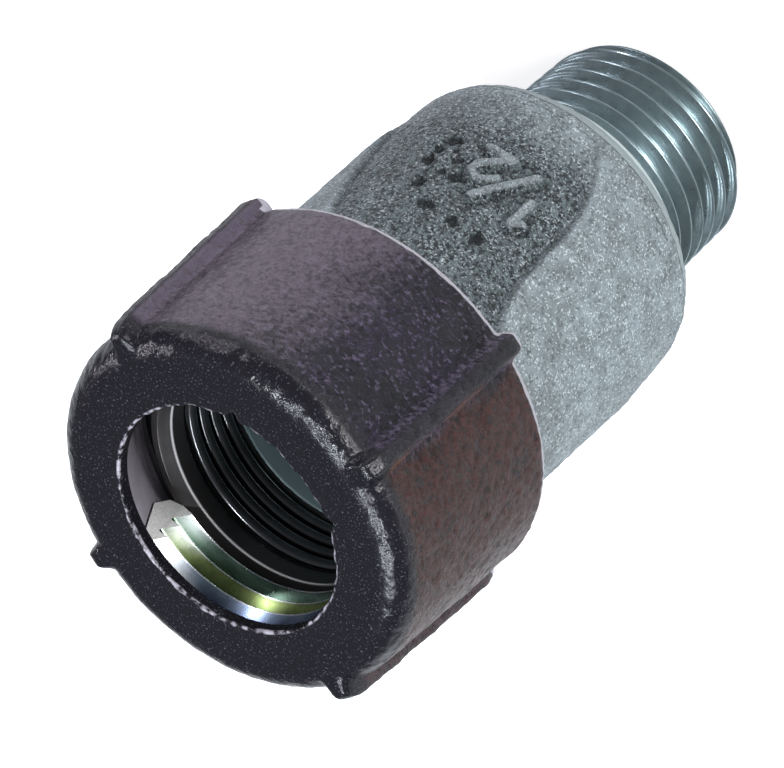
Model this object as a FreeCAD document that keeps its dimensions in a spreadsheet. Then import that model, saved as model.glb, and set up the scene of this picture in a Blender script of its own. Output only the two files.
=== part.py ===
import FreeCAD, Part
import math
import os

import Sketcher

# Compression coupling for plain steel pipe: a cast body with a male pipe thread at its foot,
# and a ribbed nut that squeezes a toothed grip ring, a pressure ring and a rubber gasket
# onto a pipe pushed in from the top. Millimetres, +Z up the bore towards the nut,
# origin at the centre of the threaded end face, on which the coupling stands.

SIZES = {
    "pipe_radius": (10.65, "outside of the plain pipe that the coupling takes"),
    "male_thread_radius": (10.48, "outside of the half inch pipe thread"),
    "male_thread_length": (12.35, "thread, from the end face to the machined land"),
    "male_thread_chamfer": (1.1, "bevel at the start of the thread"),
    "waterway_radius": (7.75, "bore through the threaded end"),
    "land_height": (1.02, "rise of the machined collar above the thread"),
    "land_length": (1.55, "length of that collar"),
    "shoulder_step": (0.1, "flat between that collar and the round of the casting"),
    "barrel_wall": (4.56, "wall of the cast barrel"),
    "barrel_runout": (5.6, "length over which the barrel rises out of the shoulder"),
    "panel_depth": (0.56, "depth of the two panels that are cast back into the barrel"),
    "panel_angle": (76.0, "width of a panel, in degrees about the bore"),
    "panel_turn": (46.5, "from the first nut rib to the middle of a panel, in degrees"),
    "panel_count": (2.0, "panels round the barrel"),
    "body_length": (54.2, "whole casting, from end face to mouth"),
    "spigot_length": (12.2, "threaded neck for the nut, from barrel to mouth"),
    "spigot_wall": (2.2, "wall of that neck round the gasket"),
    "relief_depth": (0.8, "groove between the neck's thread and the barrel"),
    "relief_length": (1.4, "width of that groove"),
    "mouth_bevel": (0.6, "bevel on the outside of the mouth"),
    "seat_width": (2.0, "width of the gasket's seat"),
    "socket_room": (0.35, "radial room round the pipe in its socket"),
    "socket_depth": (17.0, "from the gasket's seat down to the pipe stop"),
    "gasket_length": (6.5, "length of the gasket before it is squeezed"),
    "gasket_fit": (0.1, "radial room between gasket and recess"),
    "gasket_lip_room": (0.25, "radial room round the pipe at a sealing rib's crest"),
    "gasket_rib_height": (0.65, "rise of a sealing rib"),
    "gasket_rib_foot": (1.2, "width of a sealing rib at its foot"),
    "gasket_rib_crest": (0.6, "width of a sealing rib at its crest"),
    "gasket_rib_spacing": (1.42, "from one sealing rib to the next"),
    "gasket_first_rib": (1.2, "middle of the lowest sealing rib, above the seat"),
    "gasket_rim_height": (0.25, "rise of the gasket's top rim"),
    "press_ring_length": (2.9, "length of the pressure ring"),
    "press_ring_room": (0.45, "radial room round the pipe in the pressure ring"),
    "press_ring_entry": (0.9, "how far the pressure ring sits into the mouth"),
    "press_cone_width": (0.9, "width and depth of the cone at the top of its bore"),
    "press_ring_bevel": (0.3, "bevel at the bottom of its bore"),
    "guide_gap": (0.3, "radial room between pressure ring and mouth"),
    "grip_length": (5.4, "length of the grip ring"),
    "grip_tooth_room": (0.3, "radial room round the pipe at a tooth's edge"),
    "grip_wall": (2.85, "grip ring's thickness at the foot of its cone"),
    "grip_cone_fall": (1.6, "taper of the cone from there to the top"),
    "grip_top_land": (0.45, "width of the top face"),
    "grip_foot_bevel": (0.7, "width of the bevel below the cone"),
    "grip_foot_height": (1.1, "height of that bevel"),
    "grip_groove_depth": (1.05, "depth of the grooves between the teeth"),
    "grip_groove_drop": (0.25, "fall from a tooth's edge to the bottom of its groove"),
    "grip_tooth_spacing": (1.8, "from one tooth to the next"),
    "grip_first_tooth": (0.5, "edge of the lowest tooth, above the bottom face"),
    "grip_gap_start": (20.0, "one end of the split, in degrees about the bore"),
    "grip_gap_end": (94.0, "other end of the split"),
    "grip_cut_slant": (43.0, "slant of the cut at that end, in degrees"),
    "nut_wall": (2.6, "wall of the nut over its thread, at the front edge"),
    "nut_draft": (0.5, "growth of the nut's radius from the front edge to the foot"),
    "nut_gap": (0.3, "left between the nut's foot and the barrel"),
    "nut_edge_round": (1.7, "round at the front edge"),
    "nut_foot_bevel": (0.4, "machined bevel round its foot"),
    "nut_rib_count": (4.0, "ribs round the nut, for the wrench"),
    "nut_rib_height": (1.3, "rise of a nut rib above the shell at the front edge"),
    "nut_rib_width": (2.7, "width of a nut rib"),
    "nut_rib_round": (0.9, "round along a rib's crest"),
    "nut_rib_end_bevel": (0.8, "bevel at the top end of a rib"),
    "nut_rib_setback": (0.3, "from the front face to the end of a rib"),
    "opening_room": (0.45, "radial room round the pipe in the nut's front wall"),
    "nut_lip": (1.3, "thickness of that wall at the hole"),
    "grip_end_gap": (0.3, "between the front wall and the grip ring"),
    "cone_gap": (0.35, "between the nut's cone and the grip ring's"),
    "thread_gap": (0.2, "radial room between nut and neck"),
    "thread_lead_in": (1.0, "height of the bevel from the cone to the nut's thread"),
}

# Two heights nearer than this count as one.
SAME = 1e-4


class Size:
    """A length that holds its present number and the sheet expression that drives it."""

    def __init__(self, number, text):
        self.number = number
        self.text = text

    def join(self, other, sign, number):
        other_text = other.text if isinstance(other, Size) else repr(other)
        return Size(number, "(%s %s %s)" % (self.text, sign, other_text))

    def __add__(self, other):
        return self.join(other, "+", self.number + number_of(other))

    def __sub__(self, other):
        return self.join(other, "-", self.number - number_of(other))

    def __mul__(self, other):
        return self.join(other, "*", self.number * number_of(other))

    def __truediv__(self, other):
        return self.join(other, "/", self.number / number_of(other))


def number_of(value):
    return value.number if isinstance(value, Size) else value


def make_sheet(doc):
    """Writes every driving dimension into a sheet and returns them as Size values."""
    sheet = doc.addObject("Spreadsheet::Sheet", "Sizes")
    values = {}
    for row, (name, (number, note)) in enumerate(SIZES.items(), start=1):
        sheet.set("A%d" % row, note)
        sheet.set("B%d" % row, repr(number))
        sheet.setAlias("B%d" % row, name)
        values[name] = Size(number, "Sizes.%s" % name)
    doc.recompute()
    return values


def origin_part(body, role):
    for feature in body.Origin.OriginFeatures:
        if feature.Role == role:
            return feature
    raise ValueError(role)


def new_sketch(body, name, plane):
    sketch = body.newObject("Sketcher::SketchObject", name)
    sketch.AttachmentSupport = (origin_part(body, plane), [""])
    sketch.MapMode = "FlatFace"
    return sketch


def arc_edge(start, end, radius):
    """Arc from start to end that bulges to the left of its way, or right if negative."""
    chord = end - start
    half = chord.Length / 2
    rise = math.sqrt(max(radius * radius - half * half, 0.0))
    left = FreeCAD.Vector(-chord.y, chord.x, 0).normalize()
    centre = (start + end) / 2 - left * math.copysign(rise, radius)
    first, last = (end, start) if radius > 0 else (start, end)
    begin = math.atan2(first.y - centre.y, first.x - centre.x)
    sweep = (math.atan2(last.y - centre.y, last.x - centre.x) - begin) % (2 * math.pi)
    circle = Part.Circle(centre, FreeCAD.Vector(0, 0, 1), abs(radius))
    return Part.ArcOfCircle(circle, begin, begin + sweep)


def corner_radius(corner):
    """Signed radius of the arc that leaves a corner, or 0 where a line leaves it."""
    return number_of(corner[2]) if len(corner) == 3 else 0.0


def draw_outline(sketch, corners):
    """Draws a closed outline. A corner is (x, y), or (x, y, radius) where an arc leaves it.

    Each coordinate is held by a constraint that follows the sheet. A radius is positive
    where the arc bulges to the left of its way, and negative to the right.
    """
    places = [FreeCAD.Vector(number_of(c[0]), number_of(c[1]), 0) for c in corners]
    count = len(corners)
    ends = []
    for index, corner in enumerate(corners):
        start, end, radius = places[index], places[(index + 1) % count], corner_radius(corner)
        edge = arc_edge(start, end, radius) if radius else Part.LineSegment(start, end)
        sketch.addGeometry(edge, False)
        # An arc is stored anticlockwise, so one that bulges to the left ends where it starts.
        ends.append((2, 1) if radius > 0 else (1, 2))
    for index in range(count):
        following = (index + 1) % count
        sketch.addConstraint(
            Sketcher.Constraint("Coincident", index, ends[index][1], following, ends[following][0])
        )
    for index, corner in enumerate(corners):
        hold(sketch, "DistanceX", index, ends[index][0], corner[0])
        hold(sketch, "DistanceY", index, ends[index][0], corner[1])
        if corner_radius(corner):
            hold_radius(sketch, index, corner[2])


def hold(sketch, kind, index, end, value):
    """Holds one coordinate of an edge's end at a number or a sheet expression."""
    number = sketch.addConstraint(Sketcher.Constraint(kind, index, end, number_of(value)))
    if isinstance(value, Size):
        sketch.setExpression("Constraints[%d]" % number, value.text)


def hold_radius(sketch, index, value):
    """Holds an arc's radius at a sheet expression."""
    radius = value if value.number > 0 else value * -1
    number = sketch.addConstraint(Sketcher.Constraint("Radius", index, radius.number))
    sketch.setExpression("Constraints[%d]" % number, radius.text)


def new_body(doc, label):
    body = doc.addObject("PartDesign::Body", label)
    body.Label = label
    body.Placement = FreeCAD.Placement()
    return body


def turned(body, name, corners):
    """A solid turned about the bore from its half section, given as (radius, height)."""
    sketch = new_sketch(body, name + "_section", "XZ_Plane")
    draw_outline(sketch, corners)
    feature = body.newObject("PartDesign::Revolution", name)
    feature.Profile = sketch
    feature.ReferenceAxis = (sketch, ["V_Axis"])
    feature.Angle = 360
    return feature


def around(body, name, feature, count):
    """Repeats a feature evenly about the bore."""
    pattern = body.newObject("PartDesign::PolarPattern", name)
    pattern.Originals = [feature]
    pattern.Axis = (origin_part(body, "Z_Axis"), [""])
    pattern.Angle = 360
    pattern.setExpression("Occurrences", count.text)
    body.Tip = pattern
    return pattern


def levels(size):
    """Heights where the pieces meet, each worked out once."""
    level = {}
    level["land"] = size["male_thread_length"]
    level["foot"] = level["land"] + size["land_length"]
    level["mouth"] = size["body_length"]
    level["barrel_top"] = level["mouth"] - size["spigot_length"]
    level["gasket_top"] = level["mouth"] - size["press_ring_entry"]
    level["gasket_seat"] = level["gasket_top"] - size["gasket_length"]
    level["pipe_stop"] = level["gasket_seat"] - size["socket_depth"]
    level["grip_foot"] = level["gasket_top"] + size["press_ring_length"]
    level["cone_foot"] = level["grip_foot"] + size["grip_foot_height"]
    level["grip_top"] = level["grip_foot"] + size["grip_length"]
    level["lip"] = level["grip_top"] + size["grip_end_gap"]
    level["nut_front"] = level["lip"] + size["nut_lip"]
    level["nut_foot"] = level["barrel_top"] + size["nut_gap"]
    return level


def radii(size):
    """Radii that pieces share, each worked out once, mostly from the pipe outwards."""
    radius = {}
    radius["land"] = size["male_thread_radius"] + size["land_height"]
    radius["socket"] = size["pipe_radius"] + size["socket_room"]
    radius["mouth"] = radius["socket"] + size["seat_width"]
    radius["spigot"] = radius["mouth"] + size["spigot_wall"]
    radius["barrel"] = radius["socket"] + size["barrel_wall"]
    radius["panel"] = radius["barrel"] - size["panel_depth"]
    radius["grip_tooth"] = size["pipe_radius"] + size["grip_tooth_room"]
    radius["grip_cone"] = radius["grip_tooth"] + size["grip_wall"]
    radius["grip_top"] = radius["grip_cone"] - size["grip_cone_fall"]
    radius["nut_bore"] = radius["spigot"] + size["thread_gap"]
    radius["nut_front"] = radius["nut_bore"] + size["nut_wall"]
    return radius


def coupling_body(doc, size, level, radius):
    """The casting: pipe thread, land, barrel with its panels, neck for the nut, and bores."""
    body = new_body(doc, "coupling_body")
    top = level["barrel_top"]
    relief = radius["spigot"] - size["relief_depth"]
    shoulder_round = radius["panel"] - radius["land"] - size["shoulder_step"]
    shoulder = level["foot"] + shoulder_round
    turned(
        body,
        "casting",
        [
            (size["waterway_radius"], 0.0),
            (size["male_thread_radius"] - size["male_thread_chamfer"], 0.0),
            (size["male_thread_radius"], size["male_thread_chamfer"]),
            (size["male_thread_radius"], level["land"]),
            (radius["land"], level["land"]),
            (radius["land"], level["foot"]),
            (radius["land"] + size["shoulder_step"], level["foot"], shoulder_round * -1),
            (radius["panel"], shoulder),
            (radius["barrel"], shoulder + size["barrel_runout"]),
            (radius["barrel"], top),
            (relief, top),
            (relief, top + size["relief_length"]),
            (radius["spigot"], top + size["relief_length"]),
            (radius["spigot"], level["mouth"] - size["mouth_bevel"]),
            (radius["spigot"] - size["mouth_bevel"], level["mouth"]),
            (radius["mouth"], level["mouth"]),
            (radius["mouth"], level["gasket_seat"]),
            (radius["socket"], level["gasket_seat"]),
            (radius["socket"], level["pipe_stop"]),
            (size["waterway_radius"], level["pipe_stop"]),
        ],
    )
    panel = new_sketch(body, "panel_section", "XZ_Plane")
    panel.AttachmentOffset = FreeCAD.Placement(
        FreeCAD.Vector(), FreeCAD.Rotation(FreeCAD.Vector(0, 1, 0), -size["panel_turn"].number)
    )
    panel.setExpression("AttachmentOffset.Rotation.Angle", "%s * -1 deg" % size["panel_turn"].text)
    clear = radius["barrel"] + size["panel_depth"]
    panel_top = top + size["relief_length"] / 2
    draw_outline(
        panel,
        [
            (radius["panel"], shoulder),
            (clear, shoulder),
            (clear, panel_top),
            (radius["panel"], panel_top),
        ],
    )
    cut = body.newObject("PartDesign::Groove", "panel")
    cut.Profile = panel
    cut.ReferenceAxis = (panel, ["V_Axis"])
    cut.Midplane = True
    cut.setExpression("Angle", size["panel_angle"].text)
    around(body, "panels", cut, size["panel_count"])
    return body


def clamp_nut(doc, size, level, radius):
    """The cast nut: front wall with its hole, inner cone, thread bore and four ribs."""
    body = new_body(doc, "clamp_nut")
    bore, front = radius["nut_bore"], radius["nut_front"]
    opening = size["pipe_radius"] + size["opening_room"]
    rear = front + size["nut_draft"]
    edge_round = size["nut_edge_round"]
    turned(
        body,
        "shell",
        [
            (opening, level["nut_front"]),
            (opening, level["lip"]),
            (radius["grip_top"] + size["cone_gap"], level["lip"]),
            (radius["grip_cone"] + size["cone_gap"], level["cone_foot"]),
            (bore, level["cone_foot"] - size["thread_lead_in"]),
            (bore, level["nut_foot"]),
            (rear - size["nut_foot_bevel"], level["nut_foot"]),
            (rear, level["nut_foot"] + size["nut_foot_bevel"]),
            (front, level["nut_front"] - edge_round, edge_round * -1),
            (front - edge_round, level["nut_front"]),
        ],
    )
    plan = new_sketch(body, "rib_plan", "XY_Plane")
    plan.AttachmentOffset = FreeCAD.Placement(
        FreeCAD.Vector(0, 0, level["nut_foot"].number), FreeCAD.Rotation()
    )
    plan.setExpression("AttachmentOffset.Base.z", level["nut_foot"].text)
    half = size["nut_rib_width"] / 2
    root = bore + size["nut_wall"] / 2
    crest = front + size["nut_rib_height"]
    curve = size["nut_rib_round"]
    rib_end = level["nut_front"] - size["nut_rib_setback"]
    draw_outline(
        plan,
        [
            (root, half * -1),
            (crest - curve, half * -1, curve * -1),
            (crest, half * -1 + curve),
            (crest, half - curve, curve * -1),
            (crest - curve, half),
            (root, half),
        ],
    )
    rib = body.newObject("PartDesign::Pad", "rib")
    rib.Profile = plan
    rib.setExpression("Length", (rib_end - level["nut_foot"]).text)
    ribs = around(body, "ribs", rib, size["nut_rib_count"])
    doc.recompute()
    ends = body.newObject("PartDesign::Chamfer", "rib_ends")
    ends.Base = (ribs, edges_at(ribs.Shape, rib_end.number, front.number))
    ends.setExpression("Size", size["nut_rib_end_bevel"].text)
    body.Tip = ends
    return body


def edges_at(shape, height, radius):
    """Names of the level edges at one height that lie wholly outside a radius."""
    names = []
    for number, edge in enumerate(shape.Edges, start=1):
        box = edge.BoundBox
        flat = abs(box.ZMin - height) < SAME and abs(box.ZMax - height) < SAME
        outside = all(math.hypot(v.X, v.Y) > radius for v in edge.Vertexes)
        if flat and outside:
            names.append("Edge%d" % number)
    return names


def grip_ring(doc, size, level, radius):
    """The split ring: cone outside, three saw teeth inside, and the slanting cut."""
    body = new_body(doc, "grip_ring")
    foot, tooth = level["grip_foot"], radius["grip_tooth"]
    root = tooth + size["grip_groove_depth"]
    corners = [
        (radius["grip_cone"] - size["grip_foot_bevel"], foot),
        (radius["grip_cone"], level["cone_foot"]),
        (radius["grip_top"], level["grip_top"]),
        (radius["grip_top"] - size["grip_top_land"], level["grip_top"]),
    ]
    for number in (2, 1, 0):
        edge = foot + size["grip_first_tooth"] + size["grip_tooth_spacing"] * number
        corners.append((tooth, edge))
        if number:
            corners.append((root, edge - size["grip_groove_drop"]))
    corners.append((root, foot))
    turned(body, "ring", corners)
    cut = new_sketch(body, "split_plan", "XY_Plane")
    draw_outline(cut, split_corners(size, radius))
    split = body.newObject("PartDesign::Pocket", "split")
    split.Profile = cut
    split.Type = "ThroughAll"
    split.Midplane = True
    body.Tip = split
    return body


def polar(radius, angle):
    """Sheet expressions for a point given by its radius and its angle in degrees."""
    turn = math.radians(angle.number)
    return (
        Size(radius.number * math.cos(turn), "(%s * cos(%s * 1 deg))" % (radius.text, angle.text)),
        Size(radius.number * math.sin(turn), "(%s * sin(%s * 1 deg))" % (radius.text, angle.text)),
    )


def split_corners(size, radius):
    """Plan of the piece that is cut out: one side radial, the other slanting."""
    tooth = radius["grip_tooth"]
    inside = tooth / 2
    outside = radius["grip_cone"] * 2
    start = polar(inside, size["grip_gap_start"])
    start_out = polar(outside, size["grip_gap_start"])
    end = polar(tooth, size["grip_gap_end"])
    slant = polar(outside, size["grip_gap_end"] - size["grip_cut_slant"])
    end_in = polar(inside, size["grip_gap_end"])
    return [start, start_out, (end[0] + slant[0], end[1] + slant[1]), end, end_in]


def pressure_ring(doc, size, level, radius):
    """The plain ring that pushes on the gasket, coned at the top of its bore."""
    body = new_body(doc, "pressure_ring")
    foot, top = level["gasket_top"], level["grip_foot"]
    bore = size["pipe_radius"] + size["press_ring_room"]
    outside = radius["mouth"] - size["guide_gap"]
    turned(
        body,
        "ring",
        [
            (bore + size["press_ring_bevel"], foot),
            (outside, foot),
            (outside, top),
            (bore + size["press_cone_width"], top),
            (bore, top - size["press_cone_width"]),
            (bore, foot + size["press_ring_bevel"]),
        ],
    )
    return body


def gasket(doc, size, level, radius):
    """The rubber gasket, with its sealing ribs round the pipe."""
    body = new_body(doc, "gasket")
    seat, top = level["gasket_seat"], level["gasket_top"]
    outside = radius["mouth"] - size["gasket_fit"]
    crest = size["pipe_radius"] + size["gasket_lip_room"]
    valley = crest + size["gasket_rib_height"]
    foot, flat = size["gasket_rib_foot"] / 2, size["gasket_rib_crest"] / 2
    corners = [(outside, seat), (outside, top), (valley - size["gasket_rim_height"], top)]
    for number in (3, 2, 1, 0):
        middle = seat + size["gasket_first_rib"] + size["gasket_rib_spacing"] * number
        corners.append((valley, middle + foot))
        corners.append((crest, middle + flat))
        corners.append((crest, middle - flat))
        corners.append((valley, middle - foot))
    corners.append((valley, seat))
    turned(body, "ring", corners)
    return body


def check(doc, bodies):
    """Stops on any object that failed, and on any shape that isn't one sound solid."""
    for item in doc.Objects:
        if "Invalid" in item.State or "Error" in item.State:
            raise RuntimeError("%s failed: %s" % (item.Name, item.State))
    for body in bodies:
        shape = body.Shape
        if shape.isNull() or not shape.isValid() or len(shape.Solids) != 1:
            raise RuntimeError("%s isn't one sound solid" % body.Label)


def main():
    doc = FreeCAD.newDocument("compression_coupling")
    size = make_sheet(doc)
    level = levels(size)
    radius = radii(size)
    makers = (coupling_body, clamp_nut, grip_ring, pressure_ring, gasket)
    bodies = [maker(doc, size, level, radius) for maker in makers]
    doc.recompute()
    check(doc, bodies)
    os.makedirs("parts", exist_ok=True)
    for body in bodies:
        body.Shape.exportStep("parts/%s.step" % body.Label)
        box = body.Shape.BoundBox
        print("%s: %.1f mm3, z %.2f to %.2f" % (body.Label, body.Shape.Volume, box.ZMin, box.ZMax))


main()
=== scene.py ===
"""Looks of a compression coupling: a galvanised casting with a black clamp nut.

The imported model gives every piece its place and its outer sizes. This script gives each
piece its true surface: cast skins with their grain, cut threads, rounded edges, and the
finishes of zinc, black iron, steel and rubber. Lengths are in millimetres until a mesh is made.
"""

import enum
import logging
import math
from dataclasses import dataclass, field
from typing import Any, Iterable, Optional, Sequence

import bmesh
import bpy
import numpy as np
from mathutils import Matrix, Vector

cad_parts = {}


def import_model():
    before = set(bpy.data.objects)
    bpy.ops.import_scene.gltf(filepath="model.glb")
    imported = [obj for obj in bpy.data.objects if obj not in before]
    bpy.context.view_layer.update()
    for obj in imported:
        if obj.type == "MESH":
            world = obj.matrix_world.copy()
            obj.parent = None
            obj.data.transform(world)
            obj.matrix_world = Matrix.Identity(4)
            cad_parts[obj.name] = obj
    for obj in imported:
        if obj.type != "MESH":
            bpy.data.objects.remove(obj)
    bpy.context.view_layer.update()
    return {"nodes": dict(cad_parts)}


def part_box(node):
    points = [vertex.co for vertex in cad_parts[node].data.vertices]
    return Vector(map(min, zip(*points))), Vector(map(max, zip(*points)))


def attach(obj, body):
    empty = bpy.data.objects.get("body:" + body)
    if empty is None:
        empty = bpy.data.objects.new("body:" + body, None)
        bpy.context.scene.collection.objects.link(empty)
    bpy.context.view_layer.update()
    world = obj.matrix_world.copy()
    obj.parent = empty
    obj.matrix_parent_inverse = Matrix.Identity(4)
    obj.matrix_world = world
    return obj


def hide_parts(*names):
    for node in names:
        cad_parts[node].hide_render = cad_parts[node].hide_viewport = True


LOG = logging.getLogger("compression_coupling")

MM = 0.001
THREAD_PITCH = 1.814
MERGE_REACH = 2e-6

Socket = bpy.types.NodeSocket
Colour = tuple[float, float, float]
Span = tuple[float, float]


class Skin(enum.Enum):
    """How a stretch of a section was made."""

    CAST = "cast"
    TURNED = "turned"
    BORED = "bored"


class ThreadSide(enum.Enum):
    """Which side of its wall a thread is cut into."""

    OUTSIDE = 1.0
    INSIDE = -1.0


class Graph:
    """A node tree that is wired by calls, for shaders and for geometry alike."""

    def __init__(self, tree: bpy.types.NodeTree) -> None:
        """Starts on a tree.

        Args:
            tree: The tree to add nodes to.
        """
        self.tree = tree

    def add(self, kind: str, inputs: Optional[dict] = None, **settings: Any) -> bpy.types.Node:
        """Adds one node.

        Args:
            kind: Blender's name for the node's type.
            inputs: Values or sockets by input name or number.
            **settings: Properties of the node itself.

        Returns:
            The new node.
        """
        node = self.tree.nodes.new(kind)
        for name, value in settings.items():
            setattr(node, name, value)
        for key, value in (inputs or {}).items():
            self.feed(node.inputs[key], value)
        return node

    def feed(self, socket: Socket, value: Any) -> None:
        """Links a socket to another, or sets its own value.

        Args:
            socket: The input to feed.
            value: Another node's output, or a plain value.
        """
        if isinstance(value, bpy.types.NodeSocket):
            self.tree.links.new(value, socket)
        else:
            socket.default_value = value

    def math(self, operation: str, *values: Any, clamp: bool = False) -> Socket:
        """Joins numbers by a math node.

        Args:
            operation: Blender's name for the operation.
            *values: One to three numbers or sockets, in the node's order.
            clamp: Whether the result is kept between 0 and 1.

        Returns:
            The result.
        """
        inputs = dict(enumerate(values))
        node = self.add("ShaderNodeMath", inputs, operation=operation, use_clamp=clamp)
        return node.outputs[0]

    def vector(self, operation: str, *values: Any, scale: Any = None) -> Socket:
        """Joins vectors by a vector math node.

        Args:
            operation: Blender's name for the operation.
            *values: Vectors or sockets, in the node's order.
            scale: The factor of the operation SCALE.

        Returns:
            The resulting vector.
        """
        node = self.add("ShaderNodeVectorMath", dict(enumerate(values)), operation=operation)
        if scale is not None:
            self.feed(node.inputs["Scale"], scale)
        return node.outputs["Vector"]

    def ease(self, value: Any, low: Any, high: Any) -> Socket:
        """Steps smoothly from 0 at one number to 1 at another.

        Args:
            value: The number that is eased.
            low: Where the step starts.
            high: Where it ends, which may lie below the start.

        Returns:
            The share from 0 to 1.
        """
        node = self.add(
            "ShaderNodeMapRange",
            {"Value": value, "From Min": low, "From Max": high},
            interpolation_type="SMOOTHSTEP",
        )
        return node.outputs["Result"]

    def noise(
        self, place: Any, scale: Any, detail: float, seed: Any = 0.0, rough: float = 0.5
    ) -> Socket:
        """Makes noise between 0 and 1.

        Args:
            place: Where it is read.
            scale: Its waves in a metre.
            detail: How many finer layers it has.
            seed: Its fourth coordinate, fixed for each use.
            rough: How strong each finer layer is.

        Returns:
            The noise.
        """
        node = self.add(
            "ShaderNodeTexNoise",
            {"Vector": place, "Scale": scale, "Detail": detail, "W": seed, "Roughness": rough},
            noise_dimensions="4D",
        )
        return node.outputs[0]

    def split(self, place: Socket) -> Sequence[Socket]:
        """X, Y and Z of a place."""
        return self.add("ShaderNodeSeparateXYZ", {0: place}).outputs

    def radius(self, split: Sequence[Socket]) -> Socket:
        """Distance of a place, given as X, Y and Z, from the coupling's axis."""
        square = self.math("POWER", split[1], 2.0)
        return self.math("SQRT", self.math("MULTIPLY_ADD", split[0], split[0], square))

    def across(self, split: Sequence[Socket], side: float) -> Socket:
        """Measures a place along a level line through the coupling's axis.

        Args:
            split: X, Y and Z of the place.
            side: The line's direction, in radians from +X.

        Returns:
            The distance from the axis, in metres.
        """
        along_x = self.math("MULTIPLY", split[0], math.cos(side))
        return self.math("MULTIPLY_ADD", split[1], math.sin(side), along_x)


class GeometryTree(Graph):
    """A geometry node group with named inputs."""

    def __init__(self, name: str, numbers: Sequence[str], materials: Sequence[str]) -> None:
        """Makes the group and its sockets.

        Args:
            name: Name of the group.
            numbers: Names of its float inputs.
            materials: Names of its material inputs.
        """
        super().__init__(bpy.data.node_groups.new(name, "GeometryNodeTree"))
        sockets = self.tree.interface
        sockets.new_socket(name="Geometry", in_out="INPUT", socket_type="NodeSocketGeometry")
        self.names: dict[str, str] = {}
        for kind, group in (("NodeSocketFloat", numbers), ("NodeSocketMaterial", materials)):
            for title in group:
                item = sockets.new_socket(name=title, in_out="INPUT", socket_type=kind)
                self.names[title] = item.identifier
        sockets.new_socket(name="Geometry", in_out="OUTPUT", socket_type="NodeSocketGeometry")
        self.given = self.add("NodeGroupInput").outputs

    def end(self, geometry: Socket, finishes: Sequence[tuple[str, Optional[Socket]]]) -> None:
        """Ends the group in Realize Instances and Set Material.

        Args:
            geometry: What the group has made.
            finishes: Material inputs, each with the faces that it covers, or None for all.
        """
        last = self.add("GeometryNodeRealizeInstances", {"Geometry": geometry}).outputs[0]
        for title, faces in finishes:
            inputs = {"Geometry": last, "Material": self.given[title]}
            if faces is not None:
                inputs["Selection"] = faces
            last = self.add("GeometryNodeSetMaterial", inputs).outputs[0]
        self.add("NodeGroupOutput", {"Geometry": last})

    def run(self, piece: bpy.types.Object, values: dict[str, Any]) -> None:
        """Runs the group on a piece and keeps the result as its plain mesh.

        Args:
            piece: The object that gets the new mesh.
            values: Input values by name.
        """
        modifier = piece.modifiers.new(self.tree.name, "NODES")
        modifier.node_group = self.tree
        for title, value in values.items():
            modifier[self.names[title]] = value
        bpy.context.view_layer.update()
        depsgraph = bpy.context.evaluated_depsgraph_get()
        made = bpy.data.meshes.new_from_object(piece.evaluated_get(depsgraph))
        piece.modifiers.remove(modifier)
        old = piece.data
        piece.data = made
        bpy.data.meshes.remove(old)
        made.name = piece.name

    def stored(self, name: str) -> Socket:
        """A number that is stored on the piece's vertices, by its name."""
        node = self.add("GeometryNodeInputNamedAttribute", {"Name": name}, data_type="FLOAT")
        return node.outputs[0]


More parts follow.
